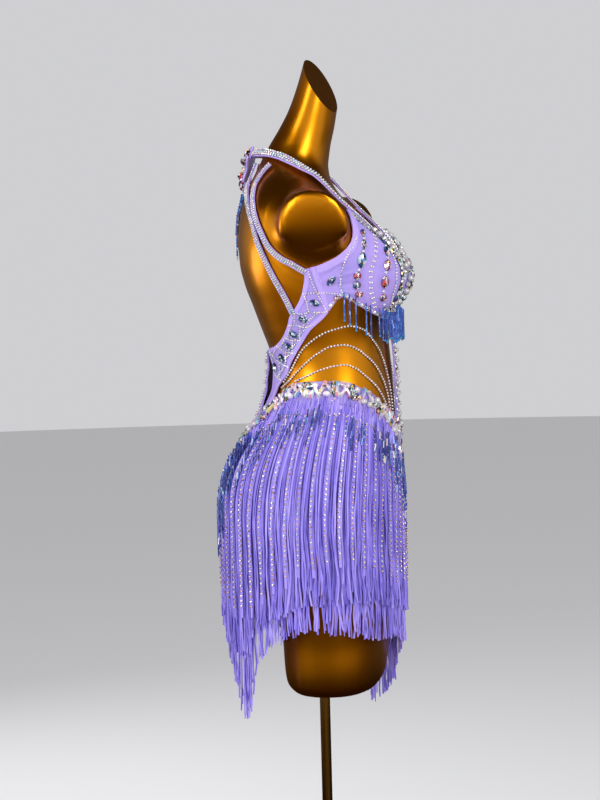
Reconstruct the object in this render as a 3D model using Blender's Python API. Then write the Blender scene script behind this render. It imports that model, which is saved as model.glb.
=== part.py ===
"""Latin dance dress on a limbless dress form.

The form is a smooth closed body on a rod and a round base plate.  The dress is made of
separate cloth walls that follow the form's surface a little way out from it, of straps and
stone chains laid along routes on it, and of combs of fringe that hang from narrow strips.

Frame: +Z up, the figure faces -Y, its right side is -X.  The origin is the centre of the
base plate's underside, on the rod's axis.  Sizes below are in millimetres, and places on the
figure are given as an angle round it (0 at centre front, 90 at its right side, 180 at centre
back, negative on its left) and a height above the floor.
"""

import math
from bisect import bisect_right
from functools import lru_cache
from typing import NamedTuple

import bmesh
import bpy
from mathutils import Vector

MM = 0.001
RIGHT, LEFT = 1, -1

# ---------------------------------------------------------------- driving sizes
SEAM = 0.4            # gap between pieces that meet edge to edge
LAYER = 0.4           # gap between pieces that lie on each other
CLOTH = 1.2           # thickness of the stretch cloth
CLOTH_LIFT = 1.0      # cloth's inner face above the figure's surface
OVER_CLOTH = CLOTH_LIFT + CLOTH + LAYER
FORM_INSET = 0.4      # the form's facets below the figure's surface

BASE_RADIUS = 180.0
BASE_THICKNESS = 8.0
BASE_BEVEL = 2.0
ROD_RADIUS = 8.0
COLLAR_RADIUS = 16.0
COLLAR_HEIGHT = 14.0
FORM_BOTTOM = 608.0

BAND_WIDTH = 13.0
STRAP_WIDTH = 9.0
STRAP_THICKNESS = 1.6
CHAIN_RADIUS = 1.5
CHAIN_LIFT = 1.9

BELT_HEIGHT = 34.0
BELT_THICKNESS = 1.6
BELT_STONES = 54
STONE_RISE = 4.0
PEARL_RISE = 5.0

STRIP_HEIGHT = 7.0
STRIP_THICKNESS = 2.2
HANG_LIFTS = (8.0, 9.2, 10.0)    # the outer row's middle above the figure, downwards
INNER_HANG_LIFTS = (4.4, 5.2)
STRAND_WIDTH = 8.4
STRAND_THICKNESS = 2.0
SKIRT_STRANDS = 64
HIP_LEVELS = range(790, 1001, 10)   # where the fringe leaves the hips


class Section(NamedTuple):
    """One level of the figure: how far it reaches, and how square its outline is."""

    height: float
    front: float
    back: float
    half_width: float
    squareness: float
    widest: float


FIGURE = (
    Section(608, 76, -36, 112, 2.35, 20),
    Section(611, 85, -44, 128, 2.40, 20),
    Section(617, 90, -49, 137, 2.45, 20),
    Section(628, 94.5, -53, 144, 2.50, 20),
    Section(645, 97, -55, 148, 2.50, 20),
    Section(690, 100, -57, 152, 2.50, 18),
    Section(720, 104, -64, 156, 2.50, 16),
    Section(750, 107, -80, 160, 2.45, 12),
    Section(780, 110, -99, 163, 2.35, 8),
    Section(810, 113, -119, 165, 2.25, 4),
    Section(840, 115, -133, 165, 2.20, 2),
    Section(870, 117, -141, 163, 2.15, 1),
    Section(900, 119, -143, 159, 2.10, 2),
    Section(930, 120, -139, 153, 2.10, 4),
    Section(960, 120, -129, 146, 2.10, 8),
    Section(990, 120, -112, 137, 2.10, 13),
    Section(1020, 120, -92, 127, 2.10, 19),
    Section(1050, 119, -75, 118, 2.10, 24),
    Section(1075, 118, -65, 113, 2.10, 27),
    Section(1100, 116, -63, 112, 2.10, 27),
    Section(1130, 113, -70, 114, 2.10, 24),
    Section(1165, 108, -82, 120, 2.15, 18),
    Section(1200, 104, -94, 127, 2.20, 12),
    Section(1235, 103, -106, 134, 2.25, 9),
    Section(1265, 100, -112, 140, 2.30, 12),
    Section(1295, 92, -113, 146, 2.35, 16),
    Section(1320, 78, -111, 150, 2.35, 20),
    Section(1340, 62, -108, 150, 2.30, 20),
    Section(1356, 48, -105, 143, 2.20, 16),
    Section(1370, 38, -101, 128, 2.10, 6),
    Section(1384, 31, -96, 108, 2.00, -8),
    Section(1398, 27, -89, 86, 2.00, -20),
    Section(1412, 26, -82, 69, 2.00, -24),
    Section(1428, 28, -74, 58, 2.00, -21),
    Section(1445, 31, -64, 53, 2.00, -15),
    Section(1470, 37, -48, 50, 2.00, -5),
    Section(1497, 42, -33, 49, 2.00, 5),
    Section(1532, 49, -19, 48, 2.00, 15),
    Section(1560, 54, -10, 47, 2.00, 22),
    Section(1610, 62, 4, 45, 2.00, 33),
)

# Each bust mound is a smooth swelling of the front.
BUST_SIDE, BUST_HEIGHT, BUST_RISE = 80.0, 1240.0, 50.0
BUST_SPREAD, BUST_SPREAD_UP, BUST_SPREAD_DOWN = 37.0, 46.0, 43.0

# Levels at which the form's mesh has a ring: close together over the bust and the shoulders.
FORM_LEVELS = (
    608, 611, 617, 628, 645, 690, 735, 780, 815, 845, 880, 920, 960, 995, 1020, 1042, 1060,
    1078, 1096, 1115, 1138, 1155, 1170, 1184, 1198, 1211, 1224, 1238, 1252, 1266, 1280, 1295,
    1310, 1325, 1340, 1354, 1366, 1378, 1390, 1402, 1416, 1434, 1460, 1495, 1540, 1605,
)
FRONT_COLUMNS, BACK_COLUMNS, FRONT_EDGE = 18, 16, 78.0   # the front's columns are narrower


class StubRing(NamedTuple):
    """One ring of the arm stub: distance from the middle, centre forward and up, radius."""

    out: float
    forward: float
    height: float
    radius: float


ARM_STUB = (
    StubRing(60, 6, 1325, 44),
    StubRing(100, 12, 1322, 51),
    StubRing(140, 19.5, 1318.5, 52),
    StubRing(161.5, 25, 1316.4, 52.2),
    StubRing(166, 26.3, 1316, 48.6),
)
CAP_TILT = 0.3           # the cap looks down: how far its top stands out over its middle, a radius
STUB_SIDES = 24

NECK_CUT_BACK, NECK_CUT_FRONT = (-6.0, 1574.0), (42.0, 1493.0)   # (forward, height) of the cut
NECK_CUT_TURN = 11.5      # degrees by which the cut also faces the figure's right


class Mark(NamedTuple):
    """A place on the figure: angle round it and height."""

    angle: float
    height: float


class Lifted(NamedTuple):
    """A place on a strap's route, with its height above the figure's surface."""

    angle: float
    height: float
    lift: float


BELT_TOP = (
    Mark(0, 985), Mark(5, 1004), Mark(12, 1020), Mark(21, 1034), Mark(30, 1046),
    Mark(43, 1063), Mark(56, 1074), Mark(73, 1085), Mark(92, 1086), Mark(113, 1084),
    Mark(122, 1079), Mark(134, 1062), Mark(143, 1048), Mark(155, 1032), Mark(168, 1008),
    Mark(180, 984),
)

CUP_NECKLINE = (Mark(0.2, 1174), Mark(0.2, 1200), Mark(4.9, 1225), Mark(11.8, 1262),
                Mark(17.2, 1300), Mark(23, 1346))
CUP_ARMHOLE = (Mark(23, 1346), Mark(41.5, 1322), Mark(54, 1298), Mark(62, 1284),
               Mark(71.5, 1271), Mark(81, 1262), Mark(86, 1258))
CUP_BOTTOM = (Mark(0.2, 1174), Mark(15, 1175), Mark(30, 1177), Mark(41.5, 1182.5),
              Mark(49, 1187.5), Mark(56.5, 1194), Mark(61, 1199.5), Mark(65.5, 1205.5),
              Mark(70, 1211.5), Mark(73.5, 1207.5), Mark(76.2, 1199), Mark(78.8, 1192))
CUP_SEAM = (Mark(78.8, 1192), Mark(82, 1225), Mark(86, 1258))

WING_FRONT = (Mark(86.4, 1258), Mark(82.5, 1225), Mark(79.4, 1191.6), Mark(81.5, 1185),
              Mark(90, 1170), Mark(102.5, 1146), Mark(113.5, 1126), Mark(123, 1109),
              Mark(127.5, 1097), Mark(136, 1084), Mark(142, 1072), Mark(144, 1048))
WING_BACK = (Mark(92, 1254), Mark(91.5, 1244), Mark(93.5, 1220), Mark(95.5, 1210),
             Mark(102, 1194), Mark(107, 1185), Mark(111.5, 1172), Mark(121, 1154),
             Mark(136, 1140), Mark(153, 1133), Mark(154.5, 1095), Mark(156, 1031))

PANEL_EDGE, PANEL_TOP = 157.5, 1131.0
FRONT_PANEL_EDGE, FRONT_PANEL_TOP = 6.6, 1172.5

NECK_BAND = (
    Lifted(3.9, 1210, 4.0), Lifted(8.2, 1232, 4.4), Lifted(14, 1264, 3.8),
    Lifted(19.5, 1302, 3.4), Lifted(25, 1342, 3.8), Lifted(35, 1367, 5.0),
    Lifted(50, 1388, 6.0), Lifted(71, 1402, 6.0), Lifted(87, 1413, 5.5),
    Lifted(108, 1423, 6.0), Lifted(135, 1428, 8.5), Lifted(158, 1428, 12.5),
    Lifted(180, 1426, 14.5),
)
INNER_STRAP = (
    Lifted(165.5, 1415.5, 4.5), Lifted(163, 1400, 3.0), Lifted(160, 1386, 2.2),
    Lifted(149, 1366, 1.8), Lifted(139.5, 1346, 1.6), Lifted(132, 1325, 1.5),
    Lifted(126.5, 1302, 1.5), Lifted(117.5, 1264, 1.5), Lifted(108, 1220, 1.6),
    Lifted(104.2, 1194, 2.8), Lifted(103.3, 1187, 3.0),
)
OUTER_STRAP = (
    Lifted(118, 1411, 4.0), Lifted(126, 1403, 3.2), Lifted(134, 1390, 2.5),
    Lifted(138.3, 1378, 2.0), Lifted(137.5, 1366, 1.8), Lifted(133.2, 1348, 1.7),
    Lifted(127.5, 1328, 1.6), Lifted(121.3, 1308, 1.6), Lifted(114, 1286, 1.6),
    Lifted(106, 1271, 1.6), Lifted(98.5, 1262, 1.8), Lifted(93.6, 1254.5, 2.9),
    Lifted(91, 1250, 3.0),
)

SIDE_CHAINS = (
    (Mark(133, 1085), Mark(124, 1101), Mark(114, 1119), Mark(104, 1136), Mark(95, 1147),
     Mark(85, 1158), Mark(75, 1164), Mark(64, 1168), Mark(51, 1162), Mark(39, 1146),
     Mark(29.5, 1130), Mark(20.5, 1102), Mark(14.5, 1070), Mark(11.2, 1042), Mark(10.6, 1027)),
    (Mark(135.5, 1076), Mark(126, 1086), Mark(117, 1099), Mark(107, 1111), Mark(92.5, 1128),
     Mark(81, 1138), Mark(69, 1140), Mark(58, 1134), Mark(49, 1124), Mark(37.5, 1108),
     Mark(28.5, 1088), Mark(20.5, 1062), Mark(15.5, 1034)),
    (Mark(117, 1086.5), Mark(107, 1093), Mark(94, 1102), Mark(82, 1108), Mark(70, 1110),
     Mark(60, 1104), Mark(48.5, 1090), Mark(37, 1074), Mark(27, 1054), Mark(22.5, 1042)),
)


class Hem(NamedTuple):
    """How low the two rows of skirt fringe reach at one angle."""

    angle: float
    inner: float
    outer: float


# The skirt is short at the right side and has a point at right back and at left front.
SKIRT_HEM = (
    Hem(-180, 690, 728), Hem(-150, 690, 730), Hem(-120, 685, 735), Hem(-95, 668, 728),
    Hem(-77, 612, 700), Hem(-66, 546, 668), Hem(-52, 565, 672), Hem(-39, 592, 680),
    Hem(-30, 635, 698), Hem(-20, 661, 712), Hem(0, 675, 722), Hem(20, 688, 735),
    Hem(38, 694, 744), Hem(56, 702, 752), Hem(71, 709, 756), Hem(88, 713, 754),
    Hem(101, 704, 738), Hem(115, 680, 720), Hem(122, 662, 706), Hem(127, 604, 690),
    Hem(131, 585, 676), Hem(142, 623, 684), Hem(148, 642, 690), Hem(157, 676, 706),
    Hem(180, 690, 728),
)
INNER_ROW_DROP = 78.0    # the inner row's strip below the outer row's

ORNAMENT_CENTRE_HEIGHT = 1409.0
ORNAMENT_TILT = 12.2      # degrees from upright, the top towards the neck
ORNAMENT_POINTS = 6
ORNAMENT_RADIUS, ORNAMENT_VALLEY = 37.0, 21.0
ORNAMENT_RIM, ORNAMENT_RIDGE, ORNAMENT_HEART = 2.4, 7.0, 9.5

TASSEL_STRANDS = 7
TASSEL_BOTTOM, TASSEL_FALL = 1270.0, 119.5
BUST_STRANDS = 12
BUST_FRINGE_LENGTH = 38.0
BEAD_STRIP_LIFT = 3.4


# ---------------------------------------------------------------- smooth tables
class Smooth:
    """A smooth curve through the rows of a table, which never swings past them."""

    def __init__(self, rows):
        self.keys = [row[0] for row in rows]
        self.columns = [list(column) for column in list(zip(*rows))[1:]]
        self.slopes = [self._slopes(column) for column in self.columns]

    def _slopes(self, values):
        steps = [b - a for a, b in zip(self.keys, self.keys[1:])]
        rises = [(b - a) / s for a, b, s in zip(values, values[1:], steps)]
        slopes = [rises[0]]
        for (s0, s1), (r0, r1) in zip(zip(steps, steps[1:]), zip(rises, rises[1:])):
            if r0 * r1 <= 0:
                slopes.append(0.0)
            else:
                near, far = 2 * s1 + s0, s1 + 2 * s0
                slopes.append((near + far) / (near / r0 + far / r1))
        return slopes + [rises[-1]]

    def __call__(self, key):
        """Returns the columns' values at this key."""
        i = min(max(bisect_right(self.keys, key) - 1, 0), len(self.keys) - 2)
        step = self.keys[i + 1] - self.keys[i]
        t = min(max((key - self.keys[i]) / step, 0.0), 1.0)
        rise, fall = t * t * (3 - 2 * t), (1 - t) ** 2 * (1 + 2 * t)
        leave, arrive = t * (1 - t) ** 2 * step, t * t * (t - 1) * step
        return [
            fall * column[i] + leave * slope[i] + rise * column[i + 1] + arrive * slope[i + 1]
            for column, slope in zip(self.columns, self.slopes)
        ]


def along(marks, degree_size=2.3):
    """A smooth curve through marks, from 0 at the first to 1 at the last, by distance."""
    distance, rows = 0.0, []
    for i, mark in enumerate(marks):
        if i:
            before = marks[i - 1]
            distance += math.hypot((mark[0] - before[0]) * degree_size, mark[1] - before[1])
        rows.append((distance, *mark))
    total = rows[-1][0]
    return Smooth([(row[0] / total, *row[1:]) for row in rows])


figure_sizes = Smooth(FIGURE)
belt_top_curve = Smooth(BELT_TOP)
hem_curve = Smooth(SKIRT_HEM)
panel_stand_off = Smooth(((980, 2.0), (1030, 5.0), (1055, 9.0), (1085, 12.0), (1110, 8.5), (1131, 3.5)))
front_stand_off = Smooth(((984, 2.0), (1034, 3.5), (1080, 5.0), (1134, 7.0), (1173, 3.5)))


def belt_top(angle):
    """The height of the belt's upper edge, the same on both sides."""
    return belt_top_curve(abs((angle + 180) % 360 - 180))[0]


def belt_bottom(angle):
    """The height of the belt's lower edge."""
    return belt_top(angle) - BELT_HEIGHT


# ---------------------------------------------------------------- the figure's surface
def surface(angle, height):
    """The point of the figure's surface at this angle and height."""
    front, back, half_width, squareness, widest = figure_sizes(height)
    cosine, sine = math.cos(math.radians(angle)), math.sin(math.radians(angle))
    power = 2 / squareness
    lateral = half_width * math.copysign(abs(sine) ** power, sine)
    reach = front - widest if cosine > 0 else widest - back
    forward = widest + reach * math.copysign(abs(cosine) ** power, cosine)
    spread = BUST_SPREAD_UP if height > BUST_HEIGHT else BUST_SPREAD_DOWN
    swell = sum(
        math.exp(-((lateral - side * BUST_SIDE) ** 2) / (2 * BUST_SPREAD**2)
                 - (height - BUST_HEIGHT) ** 2 / (2 * spread**2))
        for side in (RIGHT, LEFT)
    )
    facing = min(max(cosine * 1.6 + 0.15, 0.0), 1.0)
    return Vector((-lateral, -(forward + BUST_RISE * swell * facing), height))


@lru_cache(maxsize=None)
def frame_at(angle, height):
    """The surface point and its outward direction."""
    point = surface(angle, height)
    sideways = surface(angle + 0.1, height) - surface(angle - 0.1, height)
    upwards = surface(angle, height + 0.5) - surface(angle, height - 0.5)
    return point, upwards.cross(sideways).normalized()


def skin(angle, height, lift):
    """A point this far out from the figure's surface."""
    point, outward = frame_at(round(angle, 4), round(height, 4))
    return point + outward * lift


@lru_cache(maxsize=None)
def hanging_frame(angle):
    """Where fringe leaves the hips at this angle: height, and the level outward direction."""
    outward = frame_at(angle, 900.0)[1]
    outward = Vector((outward.x, outward.y, 0)).normalized()
    widest = max(HIP_LEVELS, key=lambda level: surface(angle, level).dot(outward))
    return float(widest), outward


def fall(angle, height, lift):
    """A point on a strand: along the figure down to the widest level, then straight down."""
    widest, _ = hanging_frame(angle)
    point = skin(angle, max(height, widest), lift)
    point.z = height if height < widest else point.z
    return point


# ---------------------------------------------------------------- mesh makers
def material(name, colour, roughness, metallic=0.0):
    """A Principled material."""
    made = bpy.data.materials.new(name)
    made.use_nodes = True
    shader = made.node_tree.nodes["Principled BSDF"]
    shader.inputs["Base Color"].default_value = (*colour, 1.0)
    shader.inputs["Roughness"].default_value = roughness
    shader.inputs["Metallic"].default_value = metallic
    return made


def place(name, mesh_edit, finish, collection):
    """Turns a bmesh in millimetres into an object of the collection."""
    bmesh.ops.recalc_face_normals(mesh_edit, faces=mesh_edit.faces)
    if mesh_edit.calc_volume(signed=True) < 0:
        bmesh.ops.reverse_faces(mesh_edit, faces=mesh_edit.faces)
    for vertex in mesh_edit.verts:
        vertex.co *= MM
    mesh = bpy.data.meshes.new(name)
    mesh_edit.to_mesh(mesh)
    mesh_edit.free()
    mesh.materials.append(finish)
    thing = bpy.data.objects.new(name, mesh)
    collection.objects.link(thing)
    return thing


def quads(mesh_edit, lower, upper, loop=False):
    """Joins two rows of vertices by faces."""
    count = len(lower)
    for i in range(count if loop else count - 1):
        j = (i + 1) % count
        mesh_edit.faces.new((lower[i], lower[j], upper[j], upper[i]))


def ring_loft(rings):
    """A closed body through rings of points, with flat ends."""
    mesh_edit = bmesh.new()
    rows = [[mesh_edit.verts.new(point) for point in ring] for ring in rings]
    for lower, upper in zip(rows, rows[1:]):
        quads(mesh_edit, lower, upper, loop=True)
    mesh_edit.faces.new(rows[0])
    mesh_edit.faces.new(rows[-1])
    return mesh_edit


def wall(inner, outer, loop=False):
    """A closed wall between two grids of points, open in the middle where it is a loop."""
    mesh_edit = bmesh.new()
    faces = [[[mesh_edit.verts.new(point) for point in row] for row in grid]
             for grid in (inner, outer)]
    for grid in faces:
        for lower, upper in zip(grid, grid[1:]):
            quads(mesh_edit, lower, upper, loop)
    for end in (0, -1):
        quads(mesh_edit, faces[0][end], faces[1][end], loop)
        if not loop:
            quads(mesh_edit, [row[end] for row in faces[0]], [row[end] for row in faces[1]])
    return mesh_edit


def cloth_wall(grid, lift, thickness=CLOTH, raised=None, loop=False):
    """A wall over a grid of marks: lift(mark) is its inner face's, raised(row, column) adds."""
    def points(depth, relief):
        return [
            [skin(mark.angle, mark.height,
                  lift(mark) + depth + (relief(i, j) if relief else 0.0))
             for j, mark in enumerate(row)]
            for i, row in enumerate(grid)
        ]
    return wall(points(0.0, None), points(thickness, raised), loop)


def between(low, high, across, up):
    """A grid of marks between two smooth curves, from low (row 0) to high."""
    grid = []
    for i in range(up + 1):
        t = i / up
        row = []
        for j in range(across + 1):
            a, b = low(j / across), high(j / across)
            row.append(Mark(a[0] + (b[0] - a[0]) * t, a[1] + (b[1] - a[1]) * t))
        grid.append(row)
    return grid


def patch(bottom, top, near, far, across, up):
    """A grid of marks inside four smooth curves: near and far run from bottom to top."""
    grid = []
    corners = bottom(0), bottom(1), top(0), top(1)
    for i in range(up + 1):
        t, row = i / up, []
        for j in range(across + 1):
            s = j / across
            low, high, left, right = bottom(s), top(s), near(t), far(t)
            row.append(Mark(*(
                (1 - t) * low[k] + t * high[k] + (1 - s) * left[k] + s * right[k]
                - (1 - s) * (1 - t) * corners[0][k] - s * (1 - t) * corners[1][k]
                - (1 - s) * t * corners[2][k] - s * t * corners[3][k]
                for k in (0, 1)
            )))
        grid.append(row)
    return grid


def mirrored(marks, side):
    """The same marks on the figure's right or left."""
    return [mark._replace(angle=side * mark.angle) for mark in marks]


def mirrored_grid(grid, side):
    """The same grid on the figure's right or left."""
    return [mirrored(row, side) for row in grid]


def beside(angle, height, step):
    """The place that a short step in the surface leads to."""
    around = (surface(angle + 0.1, height) - surface(angle - 0.1, height)) / 0.2
    rising = surface(angle, height + 0.5) - surface(angle, height - 0.5)
    aa, ar, rr = around.dot(around), around.dot(rising), rising.dot(rising)
    sa, sr = step.dot(around), step.dot(rising)
    scale = aa * rr - ar * ar
    return Mark(angle + (sa * rr - sr * ar) / scale, height + (sr * aa - sa * ar) / scale)


def ribbon(route, pieces, width, thickness):
    """A strap along a route on the figure, its two edges at the same lift."""
    curve = along(route)
    centres = [skin(*curve(i / pieces)) for i in range(pieces + 1)]
    inner, outer = [], []
    for i in range(pieces + 1):
        angle, height, lift = curve(i / pieces)
        outward = frame_at(round(angle, 4), round(height, 4))[1]
        ahead = centres[min(i + 1, pieces)] - centres[max(i - 1, 0)]
        across = ahead.cross(outward).normalized() * (width / 2)
        edges = beside(angle, height, -across), beside(angle, height, across)
        inner.append([skin(*edge, lift) for edge in edges])
        outer.append([skin(*edge, lift + thickness) for edge in edges])
    return wall(inner, outer)


def comb(strands, loop=False):
    """A strip with strands below it, as one closed body.

    A strand is a list of levels, each of four points (inner left, outer left, outer right,
    inner right): the strip's upper edge, the root, and then down to the tip.
    """
    mesh_edit = bmesh.new()
    made = [[[mesh_edit.verts.new(point) for point in level] for level in strand]
            for strand in strands]
    for levels in made:
        for i, (upper, lower) in enumerate(zip(levels, levels[1:])):
            sides = (0, 1, 2, 3) if i else (1, 3)
            for k in sides:
                j = (k + 1) % 4
                mesh_edit.faces.new((upper[k], upper[j], lower[j], lower[k]))
        mesh_edit.faces.new(levels[0])
        mesh_edit.faces.new(levels[-1])
    count = len(made)
    for i in range(count if loop else count - 1):
        here, there = made[i], made[(i + 1) % count]
        upper = here[0][3], here[0][2], there[0][1], there[0][0]
        lower = here[1][3], here[1][2], there[1][1], there[1][0]
        mesh_edit.faces.new(upper)
        mesh_edit.faces.new(lower)
        for a, b in ((0, 3), (1, 2)):
            mesh_edit.faces.new((upper[a], upper[b], lower[b], lower[a]))
    if not loop:
        first, last = made[0], made[-1]
        mesh_edit.faces.new((first[0][0], first[0][1], first[1][1], first[1][0]))
        mesh_edit.faces.new((last[0][2], last[0][3], last[1][3], last[1][2]))
    return mesh_edit


def corners(centre, outward, width, thickness):
    """The four points of a strand's level round its centre."""
    side = outward.cross(Vector((0, 0, 1))).normalized() * (width / 2)
    depth = outward * (thickness / 2)
    return [centre - side - depth, centre - side + depth,
            centre + side + depth, centre + side - depth]


# ---------------------------------------------------------------- form and stand
def form_angles():
    """The angles of the form's columns, once round."""
    front = [-FRONT_EDGE + 2 * FRONT_EDGE * i / FRONT_COLUMNS for i in range(FRONT_COLUMNS)]
    rest = 360 - 2 * FRONT_EDGE
    return front + [FRONT_EDGE + rest * i / BACK_COLUMNS for i in range(BACK_COLUMNS)]


def boolean(thing, tool, operation):
    """Adds a Boolean with a hidden tool object."""
    tool.hide_render = True
    tool.display_type = "WIRE"
    cut = thing.modifiers.new(operation.title() + tool.name, "BOOLEAN")
    cut.operation = operation
    cut.object = tool


def cap_tilt(ring):
    """How far a stub's ring tilts: only those near its end do."""
    return CAP_TILT if ring.out > 130 else 0.0


def build_form(finish, parts, tools):
    """The smooth body with two round arm stubs and a slanting cut across the neck."""
    rings = [[skin(angle, level, -FORM_INSET) for angle in form_angles()]
             for level in FORM_LEVELS]
    form = place("dress_form", ring_loft(rings), finish, parts)
    turn = [2 * math.pi * i / STUB_SIDES for i in range(STUB_SIDES)]
    for side, name in ((RIGHT, "right"), (LEFT, "left")):
        stub = ring_loft([
            [Vector((-side * (ring.out + cap_tilt(ring) * ring.radius * math.sin(a)),
                     -ring.forward - ring.radius * math.cos(a),
                     ring.height + ring.radius * math.sin(a))) for a in turn]
            for ring in ARM_STUB
        ])
        boolean(form, place(f"arm_stub_{name}", stub, finish, tools), "UNION")
    (back, back_height), (front, front_height) = NECK_CUT_BACK, NECK_CUT_FRONT
    slope = Vector((0, back - front, front_height - back_height)).normalized()
    up = Vector((0, -slope.z, slope.y))
    up = up if up.z > 0 else -up
    turn = math.radians(NECK_CUT_TURN)
    across = Vector((math.cos(turn), 0, 0)) + up * math.sin(turn)
    up = up * math.cos(turn) - Vector((math.sin(turn), 0, 0))
    middle = Vector((0, -(back + front) / 2, (back_height + front_height) / 2))
    reach = 120.0
    cutter = ring_loft([
        [middle + across * x + slope * y + up * depth
         for x, y in ((-reach, -reach), (reach, -reach), (reach, reach), (-reach, reach))]
        for depth in (0.0, reach)
    ])
    boolean(form, place("neck_cutter", cutter, finish, tools), "DIFFERENCE")
    return form


def turned(profile, sides=32):
    """Rings of a turned body round the rod's axis, from (radius, height) pairs."""
    return ring_loft([
        [Vector((radius * math.cos(2 * math.pi * i / sides),
                 radius * math.sin(2 * math.pi * i / sides), height)) for i in range(sides)]
        for radius, height in profile
    ])


def build_stand(finish, parts):
    """The round base plate, with a collar that the rod stands in, and the rod."""
    plate, collar = BASE_THICKNESS, BASE_THICKNESS + COLLAR_HEIGHT
    base = turned((
        (BASE_RADIUS - BASE_BEVEL, 0), (BASE_RADIUS, BASE_BEVEL), (BASE_RADIUS, plate - BASE_BEVEL),
        (BASE_RADIUS - BASE_BEVEL, plate), (COLLAR_RADIUS, plate), (COLLAR_RADIUS, collar),
    ))
    place("stand_base", base, finish, parts)
    rod = turned(((ROD_RADIUS, collar + SEAM), (ROD_RADIUS, FORM_BOTTOM - SEAM)), sides=16)
    place("stand_rod", rod, finish, parts)


# ---------------------------------------------------------------- bodice
def bodice_lift(mark):
    """The lift of cloth that lies on the figure."""
    return CLOTH_LIFT


def wing_lift(mark):
    """The side panel lifts a little as it nears the small of the back."""
    near_back = min(max((abs(mark.angle) - 125) / 25, 0.0), 1.0)
    return CLOTH_LIFT + 0.3 + 1.6 * near_back


def cup_relief(row, column):
    """Large stones in three columns of the cup."""
    return 2.6 if column in (3, 6, 9) and row % 2 == 1 and row < 12 else 0.0


def wing_relief(row, column):
    """A large stone in the middle of each trellis field."""
    return 2.6 if column == 2 and row % 2 == 1 else 0.0


def build_bodice(lilac, parts):
    """Cups, side panels, and the narrow front and back panels down to the belt."""
    cup = patch(along(CUP_BOTTOM), along(CUP_ARMHOLE), along(CUP_NECKLINE), along(CUP_SEAM),
                across=12, up=12)
    wing = [list(row) for row in zip(*between(along(WING_FRONT), along(WING_BACK), 20, 4))]
    for row in wing[-3:]:
        for j, mark in enumerate(row):
            lowest = belt_top(mark.angle) + 2 * SEAM
            row[j] = mark._replace(height=max(mark.height, lowest))
    for j, mark in enumerate(wing[-1]):
        wing[-1][j] = mark._replace(height=belt_top(mark.angle) + 2 * SEAM)
    for side, name in ((RIGHT, "right"), (LEFT, "left")):
        place(f"cup_{name}", cloth_wall(mirrored_grid(cup, side), bodice_lift, raised=cup_relief),
              lilac, parts)
        place(f"wing_{name}", cloth_wall(mirrored_grid(wing, side), wing_lift, raised=wing_relief),
              lilac, parts)

    def upright(edge, middle, top, across, up):
        """A panel from the belt's upper edge to this height, this many degrees each side."""
        angles = [middle - edge + 2 * edge * j / across for j in range(across + 1)]
        return [
            [Mark(angle, (belt_top(angle) + SEAM) * (1 - i / up) + top * i / up)
             for angle in angles] for i in range(up + 1)
        ]

    def pearls(row, column):
        """A large pearl on every second place of the middle line."""
        return PEARL_RISE if column == 2 and row % 2 == 1 else 0.0

    back = upright(180 - PANEL_EDGE, 180, PANEL_TOP, 4, 10)
    place("back_panel", cloth_wall(back, lambda mark: panel_stand_off(mark.height)[0],
                                   raised=pearls), lilac, parts)
    front = upright(FRONT_PANEL_EDGE, 0, FRONT_PANEL_TOP, 4, 12)
    place("front_panel", cloth_wall(front, lambda mark: front_stand_off(mark.height)[0],
                                    raised=pearls), lilac, parts)


# ---------------------------------------------------------------- straps and neck
def build_straps(stones, parts):
    """The band round the neck down both necklines, and two straps on each shoulder blade."""
    left = [mark._replace(angle=360 - mark.angle) for mark in reversed(NECK_BAND[:-1])]
    place("neck_band", ribbon(list(NECK_BAND) + left, 56, BAND_WIDTH, STRAP_THICKNESS),
          stones, parts)
    for side, name in ((RIGHT, "right"), (LEFT, "left")):
        for label, route in (("inner", INNER_STRAP), ("outer", OUTER_STRAP)):
            strap = ribbon(mirrored(route, side), 20, STRAP_WIDTH, STRAP_THICKNESS)
            place(f"back_strap_{label}_{name}", strap, stones, parts)


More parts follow.
